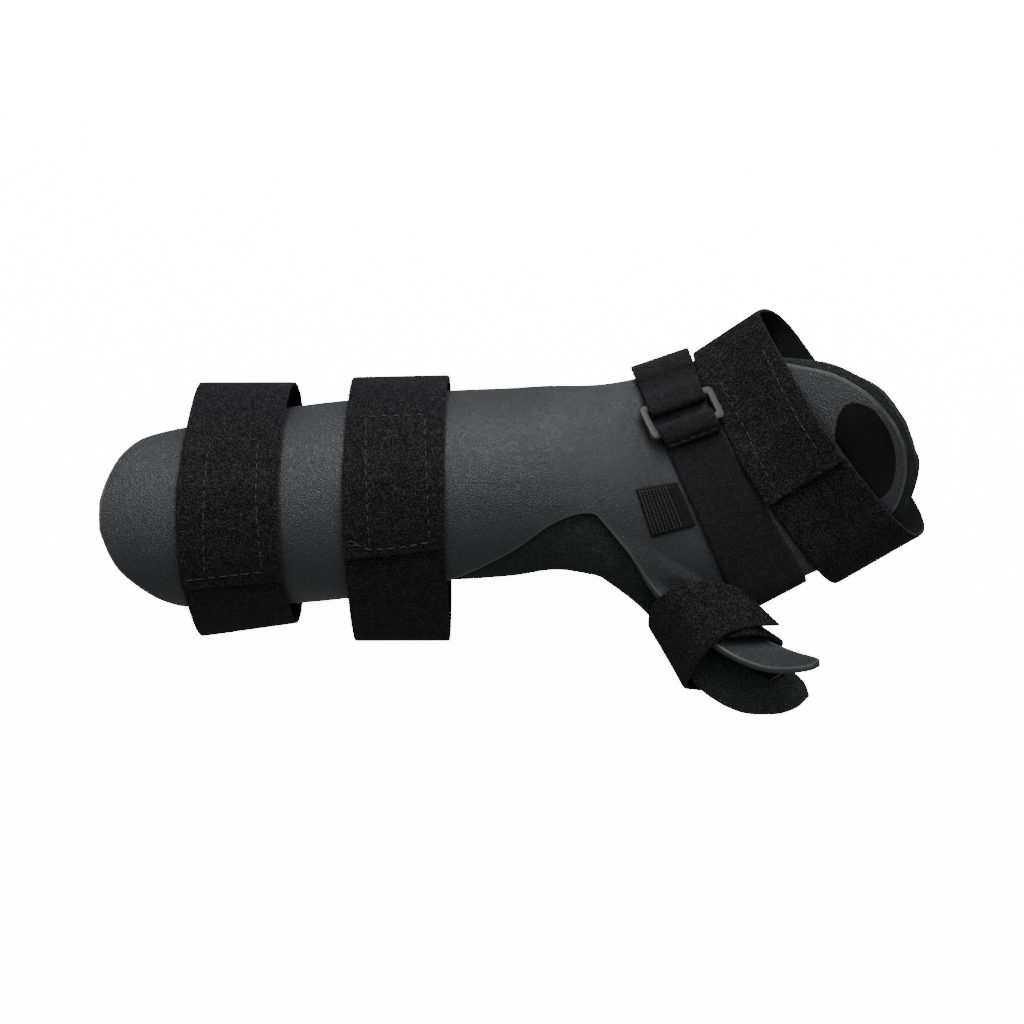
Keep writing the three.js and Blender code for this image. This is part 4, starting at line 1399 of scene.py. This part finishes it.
@dataclass
class HookPatch:
    """Square of hook tape stuck on the palm: a woven ground with a herringbone of hooks."""

    wardrobe: Wardrobe
    corners: Places = ((61, 11.6), (82.4, 15), (92.8, -7), (69.6, -12.8))
    gap: float = 0.4
    thick: float = 1.2
    ground: float = 0.5  # thickness of the woven ground
    ground_points: int = 13
    selvage: float = 0.09  # share of the width that has no hooks
    coarse: HookField = HookField(0.05, 0.68, 9, 17, 0.8)
    fine: HookField = HookField(0.77, 0.96, 6, 26, 0.34)
    slant: tuple[float, float] = (0.75, 0.66)  # of a hook, along and across the patch
    stout: float = 0.38  # radius of a hook for its half length
    sunk: float = 0.15  # depth of a hook's ends in the ground
    probe: float = 0.02  # share of the length that its direction is taken over
    rings: int = 7
    around: int = 6

    def place(self, u: Array, v: Array, off: float) -> Array:
        """Points over the square: u along its first side, v across it, off the mould."""
        p = between_corners(self.corners, u, v)
        return MOULD.laid(p[..., 0], p[..., 1], off)

    def build(self) -> list[bpy.types.Object]:
        """Ground, and both fields of hooks as one piece.

        Returns:
            The two objects; the ground is in place of the plain patch.
        """
        top = self.gap + self.ground
        stock = SheetStock(self.ground, -1, 0.8, ("hook", "hook", "hook"))
        grid = self.place(*even_grid(self.ground_points, self.ground_points), top)
        ground = stock.cut("hook_patch_ground", [grid], UP, self.wardrobe)
        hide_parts("hook_patch")
        rings = np.concatenate([self.weave(hooks, top) for hooks in (self.coarse, self.fine)])
        return [ground, tube_piece("hook_patch_hooks", rings, self.wardrobe.get("hook_tip"))]

    def weave(self, hooks: HookField, top: float) -> Array:
        """Hooks of one field: arched bars, each column leaning the other way from its neighbour.

        Args:
            hooks: The field.
            top: Height of the ground's face over the mould.

        Returns:
            Rings of shape (hooks, rings, around, 3).
        """
        u = np.linspace(hooks.first, hooks.last, hooks.columns)
        v = np.linspace(self.selvage, 1 - self.selvage, hooks.rows)
        u, v = np.meshgrid(u, v, indexing="ij")
        lean = np.where(np.arange(hooks.columns) % 2 == 0, 1.0, -1.0)[:, None, None]
        foot = self.place(u, v, top)
        up = self.place(u, v, top + 1) - foot
        along = unit(self.place(u + self.probe, v, top) - foot)
        way = along * self.slant[0] + np.cross(up, along) * lean * self.slant[1]
        side = np.cross(up, way)[..., None, None, :]
        foot, up, way = foot[..., None, :], up[..., None, :], way[..., None, :]
        t = np.linspace(-1, 1, self.rings)
        rise = (self.thick - self.ground) * (1 - np.abs(t)**3) - self.sunk
        line = foot + way * (t * hooks.half)[:, None] + up * rise[:, None]
        angle = round_angles(self.around)[:, None]
        circle = np.cos(angle) * side + np.sin(angle) * up[..., None, :]
        tube = line[..., None, :] + self.stout * hooks.half * circle
        return tube.reshape(-1, self.rings, self.around, 3)


@dataclass
class SizeLabel:
    """Black oval label near the finger tips."""

    wardrobe: Wardrobe
    middle: tuple[float, float] = (176, 30.5)
    half: tuple[float, float] = (12.5, 25)
    turn: float = 19.0  # degrees
    thick: float = 0.2
    gap: float = 0.1
    points: int = 25

    def build(self) -> bpy.types.Object:
        """Oval laid on the shell: a square grid pressed into a disc, then stretched and turned.

        Returns:
            The label, in place of its plain solid. The finger strap's edge covers part of it.
        """
        u, v = np.meshgrid(*[np.linspace(-1, 1, self.points)] * 2, indexing="ij")
        du, dv = u * np.sqrt(1 - v**2 / 2) * self.half[0], v * np.sqrt(1 - u**2 / 2) * self.half[1]
        c, s = math.cos(math.radians(self.turn)), math.sin(math.radians(self.turn))
        x, y = self.middle[0] + du * c - dv * s, self.middle[1] + du * s + dv * c
        stock = SheetStock(self.thick, -1, 0.9, ("label", "label", "label"))
        grid = MOULD.laid(x, y, self.gap + self.thick)
        piece = stock.cut("size_label_film", [grid], UP, self.wardrobe)
        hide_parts("size_label")
        return piece


@dataclass
class Stitching:
    """Rows of stitches: short threads that rise out of the cloth and go back into it."""

    wardrobe: Wardrobe
    stitch: float = 4.2
    gap: float = 1.2
    radius: float = 0.3
    lift: float = 0.3
    dip: float = 0.9  # of a thread's ends below its middle
    points: int = 7  # along a thread
    around: int = 8
    walk: int = 60  # steps for each corner that a seam is measured by
    end_points: int = 40  # along a loose end
    end_share: float = 0.7  # of a loose end's radius in a stitch's

    def row(self, strap: Strap, corners: Places) -> Array:
        """Stitches along a line of (a, l) corners on a strap's outer face.

        Each corner is found in the strap's surface as a row and a column of its grid. Each
        thread's middle follows the surface, raised by a flat arch that dips in at both ends.

        Args:
            strap: Strap that has been built.
            corners: Line's corners.

        Returns:
            Tube rings of shape (stitches, points, around, 3).
        """
        grid = strap.grid[strap.seam_rows()]
        normal = grid_normals(strap.grid, strap.frame.axes()[2])[strap.seam_rows()]
        long = strap.frame.along(grid)
        last = grid.shape[1] - 1
        places = []
        for a, l in corners:
            column = (a / (strap.width * strap.spread.at(l)) + 0.5) * last
            line = long[:, round(column)]
            order = np.argsort(line)
            places.append((np.interp(l, line[order], order), column))
        fine = np.linspace(0, len(places) - 1, self.walk * len(places))
        row, column = (np.interp(fine, np.arange(len(places)), p) for p in zip(*places))
        at = run(sampled(grid, row, column))
        count = max(1, int(at[-1] // (self.stitch + self.gap)))
        t = np.linspace(0, 1, self.points)
        s = (np.arange(count)[:, None] + 0.5) * at[-1] / count + (t - 0.5) * self.stitch
        row, column = np.interp(s, at, row), np.interp(s, at, column)
        out = sampled(normal, row, column)
        arch = STRAP_T / 2 + self.lift - self.dip * np.abs(2 * t - 1)**3
        middle = sampled(grid, row, column) + arch[:, None] * out
        return around_lines(middle, out, self.radius, self.around)

    def sew(self, strap: Strap) -> bpy.types.Object:
        """Piece with all the stitches of one strap."""
        rings = np.concatenate([self.row(strap, seam) for seam in strap.seams])
        return tube_piece(strap.node + "_stitches", rings, self.wardrobe.get("thread"))

    def loose_end(self, name: str, strap: Strap, curl: Places) -> bpy.types.Object:
        """Thread end that lies curled on a strap.

        Args:
            name: Piece's name.
            strap: Strap under it.
            curl: Places (a, l) that it passes, the sewn end first.

        Returns:
            The object.
        """
        a, l = by_row(np.array(curl, float), np.linspace(0, len(curl) - 1, self.end_points)).T
        lift = ON_SHELL + LAP + STRAP_T / 2 + self.radius
        line = strap.frame.at(a, l, strap.frame.over(a, l, lift)[0])
        rings = around_lines(line[None], strap.frame.axes()[2], self.radius * self.end_share, self.around)
        return tube_piece(name, rings, self.wardrobe.get("thread"))


@dataclass
class LinerTab:
    """Strip sewn on the liner's thumb tongue, which comes from below the plastic tongue."""

    wardrobe: Wardrobe
    trough: ArmTrough
    corners: Places = ((111.6, -75.5), (118.5, -71.1), (139.6, -82.4), (132.7, -86.8))
    thick: float = 1.0
    gap: float = 0.1
    reach: float = 9.0  # from the strip to the liner's nearest point, at most
    shape: tuple[int, int] = (7, 17)  # points across and along
    stitches: int = 4
    stitch_half: float = 0.36  # share of a stitch's stretch
    sewn_at: float = 0.965  # share of the length
    lift: float = 0.35
    dip: float = 0.5  # of a thread's ends below its middle
    radius: float = 0.3
    points: int = 7
    around: int = 8

    def place(self, u: Array, v: Array, off: Array | float) -> Array:
        """Points over the strip.

        Args:
            u: Shares of its width.
            v: Shares of its length, of the same shape.
            off: Height over the liner's face.

        Returns:
            Points, of shape u.shape + (3,).
        """
        p = between_corners(self.corners, u, v)
        z = skin(self.trough.liner_grids, p[..., 0], p[..., 1], self.reach)
        return np.concatenate([p, (z + off)[..., None]], -1)

    def build(self) -> list[bpy.types.Object]:
        """Strip, and the row of arched stitches across its end.

        Returns:
            The two objects.
        """
        # The strip takes the dark knit backing; its darkness is partly painted shade, as it lies under the
        # plastic tongue.
        stock = SheetStock(self.thick, -1, 0.5, ("strap_back", "strap_back", "strap_edge"))
        grid = self.place(*even_grid(*self.shape), self.thick + self.gap)
        strip = stock.cut("liner_tab", [grid], UP, self.wardrobe)
        t = np.linspace(-1, 1, self.points)
        at = (np.arange(self.stitches)[:, None] + 0.5 + self.stitch_half * t) / self.stitches
        arch = self.thick + self.lift - self.dip * np.abs(t)**3
        line = self.place(at, np.full_like(at, self.sewn_at), arch)
        rings = around_lines(line, UP, self.radius, self.around)
        return [strip, tube_piece("liner_tab_stitches", rings, self.wardrobe.get("thread_grey"))]


@dataclass
class EdgeFibres:
    """Loose fibres that stand out of the straps' knife-cut edges."""

    wardrobe: Wardrobe
    density: float = 1.8  # fibres per millimetre of edge
    length: tuple[float, float] = (0.4, 1.3)
    radius: float = 0.07
    taper: tuple[float, float, float] = (1.0, 0.85, 0.4)  # of the radius, root to tip
    around: int = 3
    root: float = 0.3  # length inside the cloth
    layer: tuple[float, float] = (0.45, 0.8)  # scatter through the cloth's thickness, and its limit
    lean_out: float = 0.5  # scatter of the direction, out of the cloth and along the edge
    lean_along: float = 0.7
    bow: float = 0.12
    seed: int = 7

    def grow(self, name: str, grid: Array, out: Array, end: int) -> bpy.types.Object:
        """Fibres along a strap's two sides and the end that shows.

        Args:
            name: Piece's name.
            grid: Strap's middle surface.
            out: Direction of its outer face at the start.
            end: Row of the end that shows, 0 or -1.

        Returns:
            The object.
        """
        rng = np.random.default_rng(self.seed)
        normal = grid_normals(grid, out)
        inside = 1 if end == 0 else -2
        borders = ((grid[:, 0], grid[:, 1], normal[:, 0]), (grid[:, -1], grid[:, -2], normal[:, -1]),
                   (grid[end], grid[inside], normal[end]))
        lines = np.concatenate([self.along(rng, *border) for border in borders])
        radius = self.radius * np.array(self.taper)[:, None, None]
        rings = around_lines(lines, rng.normal(size=(len(lines), 1, 3)), radius, self.around)
        return tube_piece(name, rings, self.wardrobe.get("strap_edge"))

    def along(self, rng: np.random.Generator, edge: Array, inner: Array, normal: Array) -> Array:
        """Middles of the fibres along one edge, each bowed from its root to its tip.

        Args:
            rng: Source of the scatter.
            edge: Points of the edge, shape (n, 3).
            inner: Points next to it in the cloth.
            normal: Cloth's normals at the edge.

        Returns:
            Lines of shape (fibres, 3, 3).
        """
        at = run(edge)
        s = rng.uniform(0, at[-1], int(at[-1] * self.density))
        way = unit(np.gradient(edge, axis=0))
        root, away, normal, way = (np.stack([np.interp(s, at, column) for column in values.T], -1)
                                   for values in (edge, unit(edge - inner), normal, way))
        scatter = rng.normal(size=(3, len(s), 1))
        spread, limit = self.layer
        root = root + normal * np.clip(scatter[0] * spread, -limit, limit) - self.root * away
        lean = away + self.lean_out * scatter[1] * normal + self.lean_along * scatter[2] * way
        long = self.root + rng.uniform(*self.length, (len(s), 1))
        lean *= long / np.linalg.norm(lean, axis=1, keepdims=True)
        bow = rng.normal(size=(len(s), 3)) * self.bow
        return np.stack([root, root + lean * 0.5 + bow, root + lean], 1)


@dataclass(frozen=True)
class Lamp:
    """Square light that faces the splint: its place and size in metres, and its watts."""

    name: str
    place: tuple[float, float, float]
    size: float
    power: float

    def hang(self) -> None:
        """Puts the light in its place, turned so that it faces the origin."""
        lamp = bpy.data.lights.new(self.name, "AREA")
        lamp.size, lamp.energy = self.size, self.power
        light = into_scene(self.name, lamp)
        light.location = self.place
        aim = -np.array(self.place) / np.linalg.norm(self.place)
        light.rotation_euler = (math.acos(-aim[2]), 0, math.atan2(-aim[0], aim[1]))


@dataclass(frozen=True)
class Studio:
    """Floor, light and the camera straight above the splint."""

    camera_height: float = 785.0
    sensor: float = 36.0
    lens: float = 50.22
    clip: tuple[float, float] = (0.01, 20.0)  # metres
    floor_half: float = 5.0  # metres
    floor_drop: float = 0.0004  # metres below the straps
    glow: float = 14.0  # of the table, which is lit from below
    daylight: float = 0.36  # from all round
    lamps: tuple[Lamp, ...] = (Lamp("key", (0.1, 1.06, 0.73), 0.9, 27.0),
                               Lamp("top", (0.0, 0.5, 1.3), 1.0, 12.0),
                               Lamp("fill", (0.1, -1.0, 0.6), 0.9, 1.0))

    def build(self) -> None:
        """Makes the stage."""
        camera = bpy.data.cameras.new("camera")
        camera.lens, camera.sensor_width = self.lens, self.sensor
        camera.clip_start, camera.clip_end = self.clip
        eye = into_scene("camera", camera)
        eye.location = (-ORIGIN[0] * MM, -ORIGIN[1] * MM, self.camera_height * MM)
        bpy.context.scene.camera = eye
        self.lay_floor()
        world = bpy.data.worlds.new("studio")
        world.use_nodes = True
        world.node_tree.nodes["Background"].inputs["Color"].default_value = (1, 1, 1, 1)
        world.node_tree.nodes["Background"].inputs["Strength"].default_value = self.daylight
        bpy.context.scene.world = world
        for lamp in self.lamps:
            lamp.hang()

    def lay_floor(self) -> None:
        """White table, lit from below; its glow is seen by the camera and stays off the splint."""
        h = self.floor_half
        mesh = bpy.data.meshes.new("floor")
        mesh.from_pydata([(-h, -h, 0), (h, -h, 0), (h, h, 0), (-h, h, 0)], [], [(0, 1, 2, 3)])
        paper = bpy.data.materials.new("paper_white")
        paper.use_nodes = True
        shader = paper.node_tree.nodes["Principled BSDF"]
        shader.inputs["Base Color"].default_value = srgb("#f6f6f6")
        shader.inputs["Roughness"].default_value = 0.9
        shader.inputs["Emission Color"].default_value = srgb("#ffffff")
        shader.inputs["Emission Strength"].default_value = self.glow
        mesh.materials.append(paper)
        floor = into_scene("floor", mesh)
        floor.location.z = -self.floor_drop
        floor.visible_diffuse = floor.visible_glossy = False


def forearm_straps(wardrobe: Wardrobe) -> list[ClosedStrap]:
    """The two forearm straps, with the seams that hold their hook tape."""
    return [
        ClosedStrap(
            "forearm_strap_proximal_pile", "forearm_strap_proximal", 50.0, StrapFrame((-139, 0, 0)), 417.0,
            wardrobe, start=8, end=(-38.6, -34.2), hug_radial=-38.5, radial=Fold((-65, -58), 27, 30),
            hug_ulnar=29, ulnar=Fold((67.5, 67.5), 32, 30),
            seams=(((-12.6, -30.4), (-11.7, -13.7), (-10.9, 5.8), (-11.4, 25.7), (-10.6, 34.5)),
                   ((-10.6, 35.6), (13.4, 35.4)),
                   ((13.4, 34.5), (14.4, 5.8), (15.3, -16.1), (15.6, -28.2)),
                   ((-23.4, -33.6), (15.7, -29.1)))),
        ClosedStrap(
            "forearm_strap_distal_pile", "forearm_strap_distal", 50.0, StrapFrame((-58, 0, 0)), 422.0,
            wardrobe, start=16, end=(-24, -18), hug_radial=-26, radial=Fold((-67.5, -67.5), 27, 30),
            hug_ulnar=37, ulnar=Fold((70, 71), 33, 30),
            seams=(((-12.0, -16.8), (-13.1, 15.6), (-14.6, 45.5)),
                   ((-14.6, 46.8), (15.0, 47.6)),
                   ((15.0, 46.4), (16.6, 15.6), (17.4, -13.2)),
                   ((-20.4, -15.2), (-11.7, -18.2), (3.0, -17.2), (17.7, -14.2)))),
    ]


def hand_strap(wardrobe: Wardrobe) -> HandStrap:
    """The narrow strap across the palm, with the seam below its ring."""
    return HandStrap(
        "hand_strap_pile", "hand_strap", 34.0, StrapFrame((104.3, 12.8, 58), 25.5, 0, 0.1), 438.0,
        wardrobe, Spread(30, 0.855, -55, 1), FINE_STOCK, seams=(((-14.0, 29.4), (13.6, 27.8)),))


def finger_strap(wardrobe: Wardrobe) -> ClosedStrap:
    """The strap round the finger pan, with the two seams that hold its hook tape."""
    return ClosedStrap(
        "finger_strap_pile", "finger_strap", 50.0, StrapFrame((139.6, 32.6, 60.6), 33, 18, 0.2), 382.0,
        wardrobe, Spread(66, 0.79, -76, 1.02), start=3, end=(-20, -20), hug_radial=-56,
        radial=Fold((-76, -76), -30, 24), hug_ulnar=40, ulnar=Fold((66, 66), -18, 24), back=-50,
        seams=(((-12.9, 46.9), (-13.3, 15.3), (-15.8, -15.1)),
               ((13.8, 48.5), (12.9, 20.5), (13.9, -9.1))))


def main() -> None:
    """Builds the splint's pieces in order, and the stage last."""
    logging.basicConfig(level=logging.INFO)
    wardrobe = Wardrobe(Palette())
    sewing, fibres, trough = Stitching(wardrobe), EdgeFibres(wardrobe), ArmTrough(wardrobe)
    made = trough.build()
    straps = forearm_straps(wardrobe)
    for strap in straps:
        made += [strap.build(), sewing.sew(strap)]
        made.append(fibres.grow(strap.node + "_fibres", strap.grid, UP, -1))
    curl = ((-16.9, -16.4), (-19.6, -14.8), (-21.8, -14.2), (-22.5, -15.5), (-21.0, -16.6), (-18.4, -16.2))
    made.append(sewing.loose_end("forearm_strap_distal_thread_end", straps[-1], curl))
    hand, finger, thumb = hand_strap(wardrobe), finger_strap(wardrobe), ThumbStrap(wardrobe, trough)
    made += [hand.build(), hand.build_ring(), sewing.sew(hand), finger.build(), sewing.sew(finger)]
    made.append(thumb.build())
    made.append(fibres.grow("hand_strap_fibres", hand.grid, hand.frame.axes()[2], 0))
    made.append(fibres.grow("finger_strap_fibres", finger.grid, finger.frame.axes()[2], -1))
    made.append(fibres.grow("thumb_strap_fibres", thumb.grid, UP, 0))
    made += LinerTab(wardrobe, trough).build()
    made += HookPatch(wardrobe).build()
    made.append(SizeLabel(wardrobe).build())
    for piece in made:
        LOG.info("made %s, %d faces before its modifiers", piece.name, len(piece.data.polygons))
    Studio().build()


if __name__ == "__main__":
    main()
